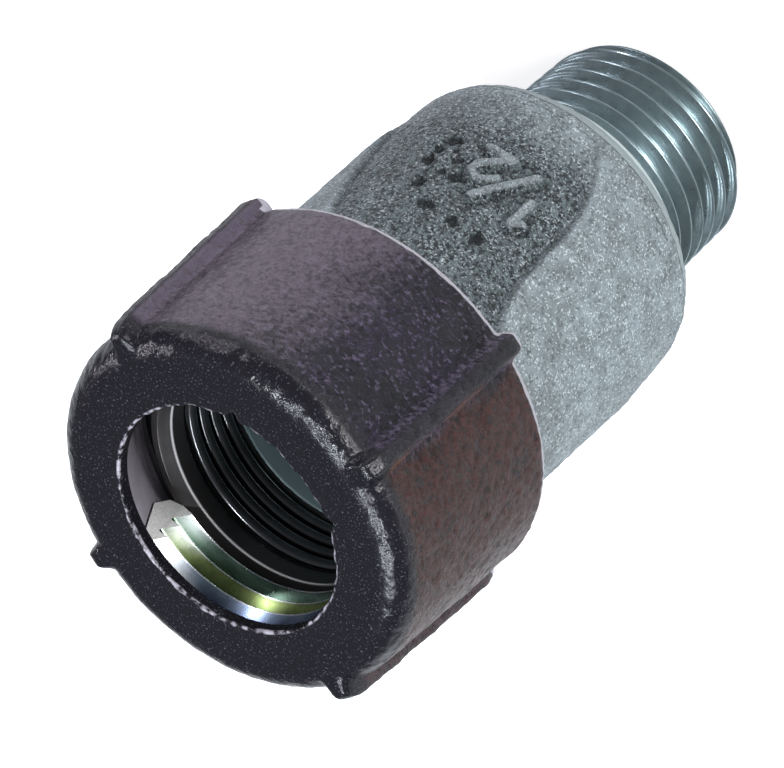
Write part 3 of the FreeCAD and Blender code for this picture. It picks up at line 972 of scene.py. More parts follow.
@dataclass(frozen=True)
class BlackCasting:
    """Black lacquer over a casting: half gloss, with a pale violet sheen painted on one side and a
    brown reflection painted on the other.

    The spans from front_black to front_smooth are heights above the front face.
    """

    name: str = "black_casting"
    black: Colour = (0.008, 0.0075, 0.010)
    violet: Colour = (0.016, 0.011, 0.026)
    # Painted light on the grain's ridges and on the rib flanks.
    ridge: Colour = (0.088, 0.069, 0.110)
    amber: Colour = (0.185, 0.076, 0.025)
    worn: Colour = (0.50, 0.48, 0.53)
    fleck: Colour = (0.055, 0.055, 0.065)
    bare: Colour = (0.30, 0.28, 0.32)
    # Painted sheen: pale violet on the -20 degree side.
    pale: Tint = Tint(math.radians(-20.0), (13.0 * MM, 18.8 * MM), 0.9, (0.155, 0.126, 0.160))
    # Painted reflection: warm brown on the -150 degree side, fading out towards +Y.
    brown: Tint = Tint(math.radians(-150.0), (9.9 * MM, 11.2 * MM), 0.95, (0.040, 0.008, 0.002))
    brown_end: Span = (8.0 * MM, -4.0 * MM)
    amber_flank_end: Span = (16.0 * MM, 14.0 * MM)
    cloud_size: float = 7.0 * MM
    cloud_span: Span = (0.35, 0.7)
    grain_size: float = 0.46 * MM
    grain_draw: float = 1.35
    ridge_span: Span = (0.53, 0.64)
    hollow_span: Span = (0.50, 0.42)
    lit_span: Span = (0.40, 0.56)
    lit_share: float = 0.85
    calm_by_pale: Span = (1.0, 0.25)
    calm_by_brown: Span = (0.9, 0.15)
    rib_span: Span = (0.75, 1.0)
    rib_share: float = 0.75
    foot_band: float = 42.72 * MM
    foot_band_edge: float = 0.06 * MM
    wall: float = 18.6 * MM
    wall_edge: float = 0.12 * MM
    front: float = 62.95 * MM
    front_black: Span = (-3.0 * MM, -2.0 * MM)
    front_gloss: Span = (-2.1 * MM, -1.3 * MM)
    front_dull: Span = (-0.05 * MM, -0.35 * MM)
    front_smooth: Span = (-2.4 * MM, -1.5 * MM)
    speck_size: float = 0.20 * MM
    speck_span: Span = (0.60, 0.72)
    opening: float = 11.1 * MM
    rim_span: Span = (0.30 * MM, 0.14 * MM)
    chip_size: float = 0.9 * MM
    chip_span: Span = (0.44, 0.60)
    specular: float = 0.28
    patch_size: float = 1.6 * MM
    roughness: Span = (0.17, 0.31)
    gloss: float = 0.09
    front_calm: float = 0.84
    bump_depth: float = 0.9 * MM

    def make(self) -> bpy.types.Material:
        """Makes the material.

        Returns:
            The finished material.
        """
        material, graph, shader, place = new_material(self.name)
        split = graph.split(place)
        drawn = graph.vector("MULTIPLY", place, (1.0, 1.0, self.grain_draw))
        grain = graph.noise(drawn, 1 / self.grain_size, detail=4.0, seed=5.0, rough=0.66)
        colour = self._sides(graph, place, split, grain)
        colour = self._front_face(graph, place, split, colour)
        low, high = self.foot_band - self.foot_band_edge, self.foot_band + self.foot_band_edge
        plain = graph.ease(graph.radius(split), self.wall + self.wall_edge, self.wall)
        foot = graph.math("MULTIPLY", graph.ease(split[2], high, low), plain)
        graph.feed(shader.inputs["Base Color"], mix_colours(graph, foot, colour, self.worn))
        shader.inputs["Metallic"].default_value = 0.0
        shader.inputs["Specular IOR Level"].default_value = self.specular
        gloss = self._near_front(graph, split, self.front_gloss)
        gloss = graph.math("MULTIPLY", gloss, self._near_front(graph, split, self.front_dull))
        patch = graph.noise(place, 1 / self.patch_size, detail=3.0, seed=3.0, rough=0.6)
        rough = number_ramp(graph, patch, *self.roughness)
        rough = graph.math("MULTIPLY_ADD", gloss, -self.gloss, rough)
        graph.feed(shader.inputs["Roughness"], rough)
        smooth = self._near_front(graph, split, self.front_smooth)
        strength = graph.math("MULTIPLY_ADD", smooth, -self.front_calm, 1.0)
        roughen(graph, shader, grain, strength, self.bump_depth)
        return material

    def _near_front(self, graph: Graph, split: Sequence[Socket], span: Span) -> Socket:
        """Eases from 0 to 1 between two heights above the front face."""
        return graph.ease(split[2], self.front + span[0], self.front + span[1])

    def _sides(
        self, graph: Graph, place: Socket, split: Sequence[Socket], grain: Socket
    ) -> Socket:
        """Colours the lacquer on the wall and the ribs, with a painted sheen, a painted reflection,
        painted light and shade on the grain, and painted highlights on the rib flanks.

        Args:
            graph: The material's graph.
            place: The object coordinates.
            split: X, Y and Z of them.
            grain: The noise of the casting's grain.

        Returns:
            The colour.
        """
        cloud = graph.noise(place, 1 / self.cloud_size, detail=3.0, seed=1.0, rough=0.55)
        colour = mix_colours(graph, graph.ease(cloud, *self.cloud_span), self.black, self.violet)
        # Painted sheen: pale violet on the -20 degree side.
        pale = self.pale.amount(graph, self.pale.reach(graph, split, cloud))
        # Painted reflection: warm brown on the -150 degree side, fading out towards +Y.
        reach = self.brown.reach(graph, split, cloud)
        brown = self.brown.amount(graph, reach)
        brown = graph.math("MULTIPLY", brown, graph.ease(split[1], *self.brown_end))
        colour = mix_colours(graph, pale, colour, self.pale.colour)
        colour = mix_colours(graph, brown, colour, self.brown.colour)
        calm = number_ramp(graph, pale, *self.calm_by_pale)
        # Painted light on the grain's ridges and painted shade in its hollows, calmer inside the
        # painted sheen.
        ridges = graph.math("MULTIPLY", graph.ease(grain, *self.ridge_span), calm)
        ridges = graph.math("MULTIPLY", ridges, number_ramp(graph, brown, *self.calm_by_brown))
        brighter = mix_colours(graph, 1.0, colour, self.ridge, "ADD")
        colour = mix_colours(graph, ridges, colour, brighter)
        hollows = graph.math("MULTIPLY", graph.ease(grain, *self.hollow_span), calm)
        colour = mix_colours(graph, hollows, colour, self.black)
        flank = stored_number(graph, "flank")
        lit = graph.math("MULTIPLY", flank, graph.math("SUBTRACT", 1.0, brown))
        lit = graph.math("MULTIPLY", lit, graph.ease(grain, *self.lit_span))
        lit = graph.math("MULTIPLY", lit, self.lit_share)
        colour = mix_colours(graph, lit, colour, self.ridge)
        rib = graph.ease(stored_number(graph, "band"), *self.rib_span)
        rib = graph.math("MULTIPLY", rib, self.rib_share)
        colour = mix_colours(graph, rib, colour, self.black)
        # Orange-brown on the rib flanks inside the brown reflection, fading along its reach.
        amber_flank = graph.math("MULTIPLY", flank, brown)
        amber_flank = graph.math("MULTIPLY", amber_flank, graph.ease(reach, *self.amber_flank_end))
        return mix_colours(graph, amber_flank, colour, self.amber)

    def _front_face(
        self, graph: Graph, place: Socket, split: Sequence[Socket], colour: Socket
    ) -> Socket:
        """Blackens the front face, with pale flecks and bare metal round its hole.

        Args:
            graph: The material's graph.
            place: The object coordinates.
            split: X, Y and Z of them.
            colour: The colour of the sides.

        Returns:
            The colour.
        """
        front = self._near_front(graph, split, self.front_black)
        colour = mix_colours(graph, front, colour, self.black)
        speck = graph.noise(place, 1 / self.speck_size, detail=1.0, seed=8.0)
        fleck = graph.math("MULTIPLY", graph.ease(speck, *self.speck_span), front)
        colour = mix_colours(graph, fleck, colour, self.fleck)
        aside = graph.math("SUBTRACT", graph.radius(split), self.opening)
        above = graph.math("SUBTRACT", split[2], self.front)
        apart = graph.math("MULTIPLY_ADD", aside, aside, graph.math("POWER", above, 2.0))
        rim = graph.ease(graph.math("SQRT", apart), *self.rim_span)
        chips = graph.noise(place, 1 / self.chip_size, detail=3.0, seed=9.0)
        rim = graph.math("MULTIPLY", rim, graph.ease(chips, *self.chip_span))
        return mix_colours(graph, rim, colour, self.bare)


@dataclass(frozen=True)
class CutIron:
    """Thinly plated cut faces of the nut: its cone, its thread and the bevel at its foot."""

    name: str = "nut_cut"
    colour: Colour = (0.40, 0.37, 0.42)
    shade: Colour = (0.26, 0.24, 0.28)
    cloud_size: float = 1.5 * MM
    metal: float = 0.1
    roughness: float = 0.55

    def make(self) -> bpy.types.Material:
        """Makes the material.

        Returns:
            The finished material.
        """
        material, graph, shader, place = new_material(self.name)
        cloud = graph.noise(place, 1 / self.cloud_size, detail=3.0, seed=1.0, rough=0.6)
        graph.feed(shader.inputs["Base Color"], mix_colours(graph, cloud, self.shade, self.colour))
        shader.inputs["Metallic"].default_value = self.metal
        shader.inputs["Roughness"].default_value = self.roughness
        return material


@dataclass(frozen=True)
class SheenZinc:
    """Bright zinc with a thin chromate film, which turns blue, yellow and green along its bands.

    Lengths are in millimetres. A white highlight is painted on the side near the sawn end, where it
    reaches further next to the crests of the two deepest teeth, and on the teeth's tips.
    """

    name: str = "plated_steel"
    bottom: float = 56.2
    height: float = 5.4
    crest: float = 10.95
    tip_span: Span = (0.10, 0.04)
    first_crest: float = 56.7
    spacing: float = 1.8
    # Painted highlight: white on the side near the sawn end.
    highlight_side: float = math.radians(88.0)
    highlight_span: Span = (9.5, 11.6)
    highlight_lag: float = -2.6
    highlight_metal: float = 0.4
    painted_highlight: Colour = (0.72, 0.75, 0.78)
    cloud_size: float = 5.0
    cloud_share: float = 0.45
    streak_size: float = 0.8
    roughness: Span = (0.20, 0.36)
    film: tuple[tuple[float, Colour], ...] = (
        (0.00, (0.02, 0.04, 0.025)),
        (0.20, (0.16, 0.26, 0.20)),
        (0.34, (0.05, 0.10, 0.06)),
        (0.50, (0.19, 0.25, 0.09)),
        (0.66, (0.07, 0.10, 0.04)),
        (0.78, (0.17, 0.23, 0.30)),
        (1.00, (0.055, 0.075, 0.13)),
    )

    def make(self) -> bpy.types.Material:
        """Makes the material.

        Returns:
            The finished material.
        """
        material, graph, shader, place = new_material(self.name)
        split = graph.split(place)
        scale = 1 / (self.height * MM)
        rise = graph.math("MULTIPLY_ADD", split[2], scale, -self.bottom / self.height)
        cloud = graph.noise(place, 1 / (self.cloud_size * MM), detail=2.0, seed=1.0)
        cloud = graph.math("SUBTRACT", cloud, 0.5)
        film = colour_ramp(graph, graph.math("MULTIPLY_ADD", cloud, self.cloud_share, rise), self.film)
        # Painted highlight: white near the sawn end, reaching further next to the crests of the two
        # deepest teeth.
        flank = graph.math("SUBTRACT", split[2], self.first_crest * MM)
        flank = graph.math("FRACT", graph.math("DIVIDE", flank, self.spacing * MM))
        deep = graph.math("LESS_THAN", split[2], (self.first_crest + 2 * self.spacing) * MM)
        shorter = graph.math("MULTIPLY", graph.math("MULTIPLY", flank, deep), self.highlight_lag * MM)
        reach = graph.math("ADD", graph.across(split, self.highlight_side), shorter)
        painted_highlight = graph.ease(reach, *(edge * MM for edge in self.highlight_span))
        colour = mix_colours(graph, painted_highlight, film, self.painted_highlight)
        # Painted highlight: the teeth's tips are whitened too.
        tip = graph.ease(graph.radius(split), *((self.crest + edge) * MM for edge in self.tip_span))
        graph.feed(shader.inputs["Base Color"], mix_colours(graph, tip, colour, self.painted_highlight))
        graph.feed(shader.inputs["Metallic"], number_ramp(graph, painted_highlight, 1.0, self.highlight_metal))
        streak = graph.noise(place, 1 / (self.streak_size * MM), detail=2.0, seed=2.0)
        graph.feed(shader.inputs["Roughness"], number_ramp(graph, streak, *self.roughness))
        return material


@dataclass(frozen=True)
class DullZinc:
    """The sawn end of the grip ring."""

    name: str = "sawn_zinc"
    colour: Colour = (0.92, 0.92, 0.89)
    dark_share: float = 0.75
    grain_size: float = 0.15 * MM
    grain_span: Span = (0.35, 0.6)
    roughness: float = 0.6
    bump_strength: float = 0.5
    bump_depth: float = 0.05 * MM

    def make(self) -> bpy.types.Material:
        """Makes the material.

        Returns:
            The finished material.
        """
        material, graph, shader, place = new_material(self.name)
        grain = graph.noise(place, 1 / self.grain_size, detail=3.0, seed=1.0, rough=0.7)
        dark = toned(self.colour, self.dark_share)
        colour = mix_colours(graph, graph.ease(grain, *self.grain_span), dark, self.colour)
        graph.feed(shader.inputs["Base Color"], colour)
        shader.inputs["Metallic"].default_value = 0.0
        shader.inputs["Roughness"].default_value = self.roughness
        roughen(graph, shader, grain, self.bump_strength, self.bump_depth)
        return material


@dataclass(frozen=True)
class BlackSteel:
    """Blackened steel, half gloss, with a pale highlight painted along the top of its bore."""

    name: str = "black_steel"
    colour: Colour = (0.024, 0.021, 0.021)
    bright_share: float = 1.8
    # The colour of the painted highlight along the top of the bore.
    worn: Colour = (0.50, 0.48, 0.48)
    highlight_radius: Span = (11.26 * MM, 11.14 * MM)
    highlight_foot: Span = (55.15 * MM, 55.25 * MM)
    cloud_size: float = 2.0 * MM
    metal: float = 0.3
    roughness: Span = (0.25, 0.42)

    def make(self) -> bpy.types.Material:
        """Makes the material.

        Returns:
            The finished material.
        """
        material, graph, shader, place = new_material(self.name)
        cloud = graph.noise(place, 1 / self.cloud_size, detail=3.0, seed=1.0)
        bright = toned(self.colour, self.bright_share)
        colour = mix_colours(graph, cloud, self.colour, bright)
        split = graph.split(place)
        # Painted highlight: a pale line along the top of the bore.
        edge = graph.ease(graph.radius(split), *self.highlight_radius)
        edge = graph.math("MULTIPLY", edge, graph.ease(split[2], *self.highlight_foot))
        graph.feed(shader.inputs["Base Color"], mix_colours(graph, edge, colour, self.worn))
        shader.inputs["Metallic"].default_value = self.metal
        graph.feed(shader.inputs["Roughness"], number_ramp(graph, cloud, *self.roughness))
        return material


@dataclass(frozen=True)
class BlackRubber:
    """Moulded rubber, smooth and a little glossy."""

    name: str = "black_rubber"
    colour: Colour = (0.014, 0.014, 0.015)
    bright_share: float = 2.0
    cloud_size: float = 1.2 * MM
    roughness: Span = (0.13, 0.24)

    def make(self) -> bpy.types.Material:
        """Makes the material.

        Returns:
            The finished material.
        """
        material, graph, shader, place = new_material(self.name)
        cloud = graph.noise(place, 1 / self.cloud_size, detail=3.0, seed=1.0)
        bright = toned(self.colour, self.bright_share)
        graph.feed(shader.inputs["Base Color"], mix_colours(graph, cloud, self.colour, bright))
        graph.feed(shader.inputs["Roughness"], number_ramp(graph, cloud, *self.roughness))
        return material


@dataclass(frozen=True)
class PaleFloor:
    """A pale floor that the camera sees as white, with the object's soft shadow on it."""

    name: str = "pale_floor"
    colour: Colour = (0.60, 0.60, 0.60)
    white_share: float = 0.71

    def make(self) -> bpy.types.Material:
        """Makes the material.

        Returns:
            The finished material.
        """
        material = bpy.data.materials.new(self.name)
        material.use_nodes = True
        graph = Graph(material.node_tree)
        material.node_tree.nodes.remove(material.node_tree.nodes["Principled BSDF"])
        plain = graph.add("ShaderNodeBsdfDiffuse", {"Color": (*self.colour, 1.0)}).outputs[0]
        path = graph.add("ShaderNodeLightPath").outputs
        seen = graph.math("MAXIMUM", path["Is Camera Ray"], path["Is Transmission Ray"])
        glow = graph.math("MULTIPLY", seen, self.white_share)
        inputs = {"Color": (1.0, 1.0, 1.0, 1.0), "Strength": glow}
        white = graph.add("ShaderNodeEmission", inputs).outputs[0]
        mixed = graph.add("ShaderNodeAddShader", {0: plain, 1: white}).outputs[0]
        output = material.node_tree.nodes["Material Output"]
        graph.feed(output.inputs["Surface"], mixed)
        return material


@dataclass(frozen=True)
class Trees:
    """The geometry node groups that the pieces share."""

    thread: GeometryTree
    band: GeometryTree
    skin: GeometryTree


def node_levels(node: str) -> tuple[float, float, float]:
    """Lowest height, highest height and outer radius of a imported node, in millimetres."""
    low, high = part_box(node)
    return low[2] / MM, high[2] / MM, max(high[0], high[1]) / MM


def point_outwards(piece: bpy.types.Object) -> None:
    """Makes every face of a closed piece point outwards.

    Args:
        piece: The piece, whose mesh is changed.
    """
    mesh = bmesh.new()
    mesh.from_mesh(piece.data)
    bmesh.ops.recalc_face_normals(mesh, faces=mesh.faces)
    mesh.to_mesh(piece.data)
    mesh.free()
    piece.data.shade_smooth()


@dataclass(frozen=True)
class Bands:
    """Ribs or panels round a shell. Lengths are in millimetres and angles in radians.

    The lean is an angle for each metre, and the curl one for each metre cubed.
    """

    count: int
    half_width: float
    edge: float
    rise: float
    bottom: float
    bottom_fade: float
    top: float
    top_fade: float
    nearest: float
    turn: float = 0.0
    lean: float = 0.0
    spread: float = 0.0
    curl: float = 0.0
    lean_height: float = 0.0
    groove: float = 0.0

    def shape(
        self,
        trees: Trees,
        piece: bpy.types.Object,
        cast: bpy.types.Material,
        cut: bpy.types.Material,
    ) -> None:
        """Raises or sinks the bands on a piece.

        Args:
            trees: The shared groups.
            piece: The shell.
            cast: The finish of its cast faces.
            cut: The finish of its machined faces.
        """
        values = {
            "Count": float(self.count),
            "Turn": self.turn,
            "Half width": self.half_width * MM,
            "Edge": self.edge * MM,
            "Lean": self.lean,
            "Spread": self.spread,
            "Curl": self.curl,
            "Lean height": self.lean_height * MM,
            "Rise": self.rise * MM,
            "Groove": self.groove * MM,
            "Bottom": self.bottom * MM,
            "Bottom fade": self.bottom_fade * MM,
            "Top": self.top * MM,
            "Top fade": self.top_fade * MM,
            "Nearest": self.nearest * MM,
            "Cast": cast,
            "Machined": cut,
        }
        trees.band.run(piece, values)


@dataclass(frozen=True)
class CastSkin:
    """The unevenness of a cast skin, in millimetres."""

    wave_size: float
    wave_height: float
    grain_size: float
    grain_height: float
    pit_size: float
    pit_depth: float
    pit_share: float
    seed: float

    def shape(
        self,
        trees: Trees,
        piece: bpy.types.Object,
        cast: bpy.types.Material,
        cut: bpy.types.Material,
    ) -> None:
        """Gives a piece the skin.

        Args:
            trees: The shared groups.
            piece: The shell.
            cast: The finish of its cast faces.
            cut: The finish of its machined faces.
        """
        values = {
            "Wave size": self.wave_size * MM,
            "Wave height": self.wave_height * MM,
            "Grain size": self.grain_size * MM,
            "Grain height": self.grain_height * MM,
            "Pit size": self.pit_size * MM,
            "Pit depth": self.pit_depth * MM,
            "Pit share": self.pit_share,
            "Seed": self.seed,
            "Cast": cast,
            "Machined": cut,
        }
        trees.skin.run(piece, values)


@dataclass(frozen=True)
class Thread:
    """A cut thread, in millimetres."""

    name: str
    side: ThreadSide
    crest: float
    depth: float
    back: float
    start: float
    end: float
    phase: float = 0.0
    taper: float = 0.0
    lead_in: float = 0.3
    run_out: float = 0.4
    flat: float = 0.09
    rows_per_turn: int = 18
    columns: int = 192

    def build(self, trees: Trees, finish: bpy.types.Material) -> bpy.types.Object:
        """Makes the threaded tube.

        Args:
            trees: The shared groups.
            finish: Its material.

        Returns:
            The piece.
        """
        piece = mesh_object(self.name, np.zeros((4, 3)), np.array([[0, 1, 2, 3]]))
        reach = (self.end - self.start) / THREAD_PITCH + 1.0
        values = {
            "Rows": float(round(reach * self.rows_per_turn)),
            "Columns": float(self.columns),
            "Crest radius": self.crest * MM,
            "Depth": self.depth * MM,
            "Pitch": THREAD_PITCH * MM,
            "Start": self.start * MM,
            "End": self.end * MM,
            "Back radius": self.back * MM,
            "Side": self.side.value,
            "Phase": self.phase,
            "Taper": self.taper,
            "Lead in": self.lead_in * MM,
            "Run out": self.run_out * MM,
            "Flat": self.flat,
            "Finish": finish,
        }
        trees.thread.run(piece, values)
        point_outwards(piece)
        return piece


@dataclass(frozen=True)
class Stroke:
    """One stroke of a cast numeral, from start to end, in millimetres on the panel."""

    start: tuple[float, float]
    end: tuple[float, float]

    def distance(self, across: np.ndarray, up: np.ndarray) -> np.ndarray:
        """Measures how far points are from the stroke's line.

        Args:
            across: Their places across the panel.
            up: Their places up the panel.

        Returns:
            The distances, in millimetres.
        """
        here = np.stack((across, up), axis=-1)
        start, end = np.array(self.start), np.array(self.end)
        way = end - start
        share = np.clip(((here - start) @ way) / (way @ way), 0.0, 1.0)
        return np.linalg.norm(here - (start + share[:, None] * way), axis=-1)


@dataclass(frozen=True)
class SizeMark:
    """The raised size on the panel, as plain numerals: one half.

    Lengths are in millimetres. Only the outer wall rises, down to the room inside its radius.
    """

    turn: float = math.radians(-54.0)
    height: float = 27.8
    rise: float = 0.50
    half_width: float = 0.28
    edge: float = 0.40
    moat: float = 0.22
    moat_gap: float = 0.15
    moat_width: float = 0.35
    room: float = 1.0

    def strokes(self) -> Iterable[Stroke]:
        """Draws the numerals, with their middle at the origin.

        Yields:
            Their strokes.
        """
        yield Stroke((-3.6, 2.2), (-2.8, 3.0))
        yield Stroke((-2.8, 3.0), (-2.8, -0.4))
        yield Stroke((-1.6, -2.9), (1.4, 3.0))
        two = ((0.9, -0.2), (1.4, 0.6), (2.4, 0.9), (3.2, 0.3), (3.1, -0.8), (0.9, -3.0), (3.5, -3.0))
        for start, end in zip(two, two[1:]):
            yield Stroke(start, end)

    def relief(self, places: np.ndarray, radius: float) -> np.ndarray:
        """Works out the rise of the numerals at each vertex, with the moat round them.

        Args:
            places: Rows of x, y, z in millimetres.
            radius: Radius of the panel.

        Returns:
            The rise, in millimetres.
        """
        angle = np.arctan2(places[:, 1], places[:, 0]) - self.turn
        across, up = angle * radius, places[:, 2] - self.height
        nearest = np.min([stroke.distance(across, up) for stroke in self.strokes()], axis=0)
        share = np.clip((self.half_width + self.edge - nearest) / self.edge, 0.0, 1.0)
        off_moat = nearest - self.half_width - self.edge - self.moat_gap
        moat = np.exp(-((off_moat / self.moat_width) ** 2))
        outside = np.hypot(places[:, 0], places[:, 1]) > radius - self.room
        return (self.rise * share * share * (3 - 2 * share) - self.moat * moat) * outside


@dataclass(frozen=True)
class Pit:
    """A blow hole in the casting: where it is, how wide and how deep, in millimetres.

    Only the outer wall sinks, down to the room inside its radius.
    """

    degrees: float
    height: float
    width: float
    depth: float
    ragged: float = 0.16
    wall_share: float = 0.65
    room: float = 1.0

    def relief(self, places: np.ndarray, radius: float) -> np.ndarray:
        """Works out the depth of the hole at each vertex.

        Args:
            places: Rows of x, y, z in millimetres.
            radius: Radius of the panel.

        Returns:
            The depth as a negative rise, in millimetres.
        """
        angle = np.arctan2(places[:, 1], places[:, 0]) - math.radians(self.degrees)
        across, up = angle * radius, places[:, 2] - self.height
        around = np.arctan2(up, across)
        ragged = 1.0 + self.ragged * np.sin(2.0 * around + self.degrees)
        ragged = ragged + self.ragged * np.sin(5.0 * around - self.degrees)
        reach = np.hypot(across, up) * ragged / (self.width / 2)
        share = np.clip((1.0 - reach) / self.wall_share, 0.0, 1.0)
        outside = np.hypot(places[:, 0], places[:, 1]) > radius - self.room
        return -self.depth * share * share * (3 - 2 * share) * outside


@dataclass
class Casting:
    """The coupling's body: galvanised barrel, land, bores, and its two outside threads.

    Lengths are in millimetres and angles in radians. The panel's lean is an angle for each
    metre of height, and its curl one for each metre cubed.
    """

    trees: Trees
    barrel: float = 15.56
    panel_depth: float = 0.56
    panel_turn: float = math.radians(-39.85)
    panel_count: int = 2
    panel_angle: float = math.radians(81.7)
    panel_lean: float = math.radians(-0.855) / MM
    panel_lean_height: float = 30.0
    panel_spread: float = 0.191
    panel_curl: float = math.radians(-0.00375) / MM**3
    panel_edge: float = 0.75
    panel_groove: float = 0.26
    waterway: float = 7.75
    socket: float = 11.0
    mouth: float = 13.0
    spigot: float = 15.2
    thread_radius: float = 10.48
    thread_depth: float = 1.05
    thread_end: float = 12.35
    neck_depth: float = 1.0
    land: float = 11.5
    foot: float = 13.9
    shoulder: float = 3.4
    shoulder_foot: float = 17.3
    run_out: float = 5.6
    barrel_top: float = 42.0
    pipe_stop: float = 29.8
    columns: int = 484
    fine: float = 0.23
    skin: CastSkin = CastSkin(
        wave_size=3.0,
        wave_height=0.30,
        grain_size=0.55,
        grain_height=0.26,
        pit_size=0.8,
        pit_depth=0.20,
        pit_share=0.42,
        seed=11.0,
    )
    mark: SizeMark = field(default_factory=SizeMark)
    pits: tuple[Pit, ...] = (
        Pit(-27.0, 25.0, 1.9, 0.62),
        Pit(-25.0, 26.5, 1.5, 0.50),
        Pit(-25.0, 28.2, 1.9, 0.60),
        Pit(-30.0, 31.5, 1.8, 0.60),
        Pit(-39.0, 29.5, 1.7, 0.55),
        Pit(-35.0, 27.4, 1.4, 0.45),
        Pit(-39.0, 33.8, 1.9, 0.62),
        Pit(-51.0, 34.2, 1.6, 0.50),
        Pit(-61.0, 34.2, 1.8, 0.55),
        Pit(-31.0, 26.2, 1.1, 0.34),
        Pit(-33.5, 29.4, 1.2, 0.36),
        Pit(-28.5, 29.8, 1.0, 0.30),
    )

    def build(self) -> list[bpy.types.Object]:
        """Makes the body's three pieces.

        Returns:
            The cast barrel, the pipe thread and the neck's thread.
        """
        cast = GalvanisedCasting().make()
        cut = CutZinc(colour=(0.50, 0.56, 0.56), shade=(0.30, 0.34, 0.34), metal=0.35).make()
        barrel = self._barrel(cast, cut)
        _, mouth, _ = node_levels("coupling_body")
        pipe = Thread(
            "pipe_thread",
            ThreadSide.OUTSIDE,
            crest=self.thread_radius,
            depth=self.thread_depth,
            back=self.waterway,
            start=0.0,
            end=self.thread_end,
            taper=1 / 32,
            lead_in=1.1,
            run_out=1.2,
        )
        neck = Thread(
            "neck_thread",
            ThreadSide.OUTSIDE,
            crest=self.spigot,
            depth=self.neck_depth,
            back=self.mouth,
            start=self.barrel_top,
            end=mouth,
            lead_in=0.8,
            run_out=0.3,
        )
        zinc = CutZinc(
            "galvanised_thread",
            colour=(0.34, 0.43, 0.45),
            shade=(0.11, 0.15, 0.165),
            roughness=0.28,
            ring_pitch=0.15 * MM,
            metal=0.78,
        )
        thread_finish = zinc.make()
        return [barrel, pipe.build(self.trees, thread_finish), neck.build(self.trees, thread_finish)]

    def _barrel(self, cast: bpy.types.Material, cut: bpy.types.Material) -> bpy.types.Object:
        """Makes the barrel with its panels, mark, blow holes and skin.

        Args:
            cast: The finish of its cast faces.
            cut: The finish of its machined faces.

        Returns:
            The barrel.
        """
        seat = node_levels("gasket")[0]
        fine = self.fine
        corners = (
            Corner(self.mouth, self.barrel_top, 0.0, Skin.TURNED, 0.6),
            Corner(self.barrel, self.barrel_top, 0.35, Skin.CAST, fine),
            Corner(self.barrel, self.shoulder_foot + self.run_out, 0.0, Skin.CAST, fine),
            Corner(self.barrel - self.panel_depth, self.shoulder_foot, 0.0, Skin.CAST, fine),
            Corner(self.barrel - self.panel_depth, self.foot, self.shoulder, Skin.CAST, fine),
            Corner(self.land + 0.05, self.foot, 0.0, Skin.TURNED, 0.4),
            Corner(self.land, self.foot, 0.1, Skin.TURNED, 0.5),
            Corner(self.land, self.thread_end, 0.15, Skin.TURNED, 0.5),
            Corner(self.waterway, self.thread_end, 0.0, Skin.BORED, 3.0),
            Corner(self.waterway, self.pipe_stop, 0.2, Skin.BORED, 1.0),
            Corner(self.socket, self.pipe_stop, 0.3, Skin.BORED, 2.0),
            Corner(self.socket, seat, 0.2, Skin.BORED, 0.6),
            Corner(self.mouth, seat, 0.0, Skin.TURNED, 3.0),
        )
        piece = turn_section("cast_barrel", Section(corners), even_angles(self.columns))
        panels = Bands(
            count=self.panel_count,
            half_width=self.barrel * self.panel_angle / 2,
            edge=self.panel_edge,
            rise=-self.panel_depth,
            bottom=self.shoulder_foot,
            bottom_fade=self.shoulder_foot + self.run_out,
            top=100.0,
            top_fade=0.1,
            nearest=(self.socket + self.barrel) / 2,
            turn=self.panel_turn,
            lean=self.panel_lean,
            spread=self.panel_spread,
            curl=self.panel_curl,
            lean_height=self.panel_lean_height,
            groove=self.panel_groove,
        )
        panels.shape(self.trees, piece, cast, cut)
        places = vertex_places(piece)
        panel = self.barrel - self.panel_depth
        relief = self.mark.relief(places, panel)
        for pit in self.pits:
            relief = relief + pit.relief(places, panel)
        layer = piece.data.attributes["relief"]
        layer.data.foreach_set("value", (relief * MM).astype(np.float32))
        self.skin.shape(self.trees, piece, cast, cut)
        return piece


@dataclass(frozen=True)
class RimWave:
    """One wave of a ragged rim: how many to a turn, how high in millimetres, and its start."""

    count: int
    height: float
    start: float


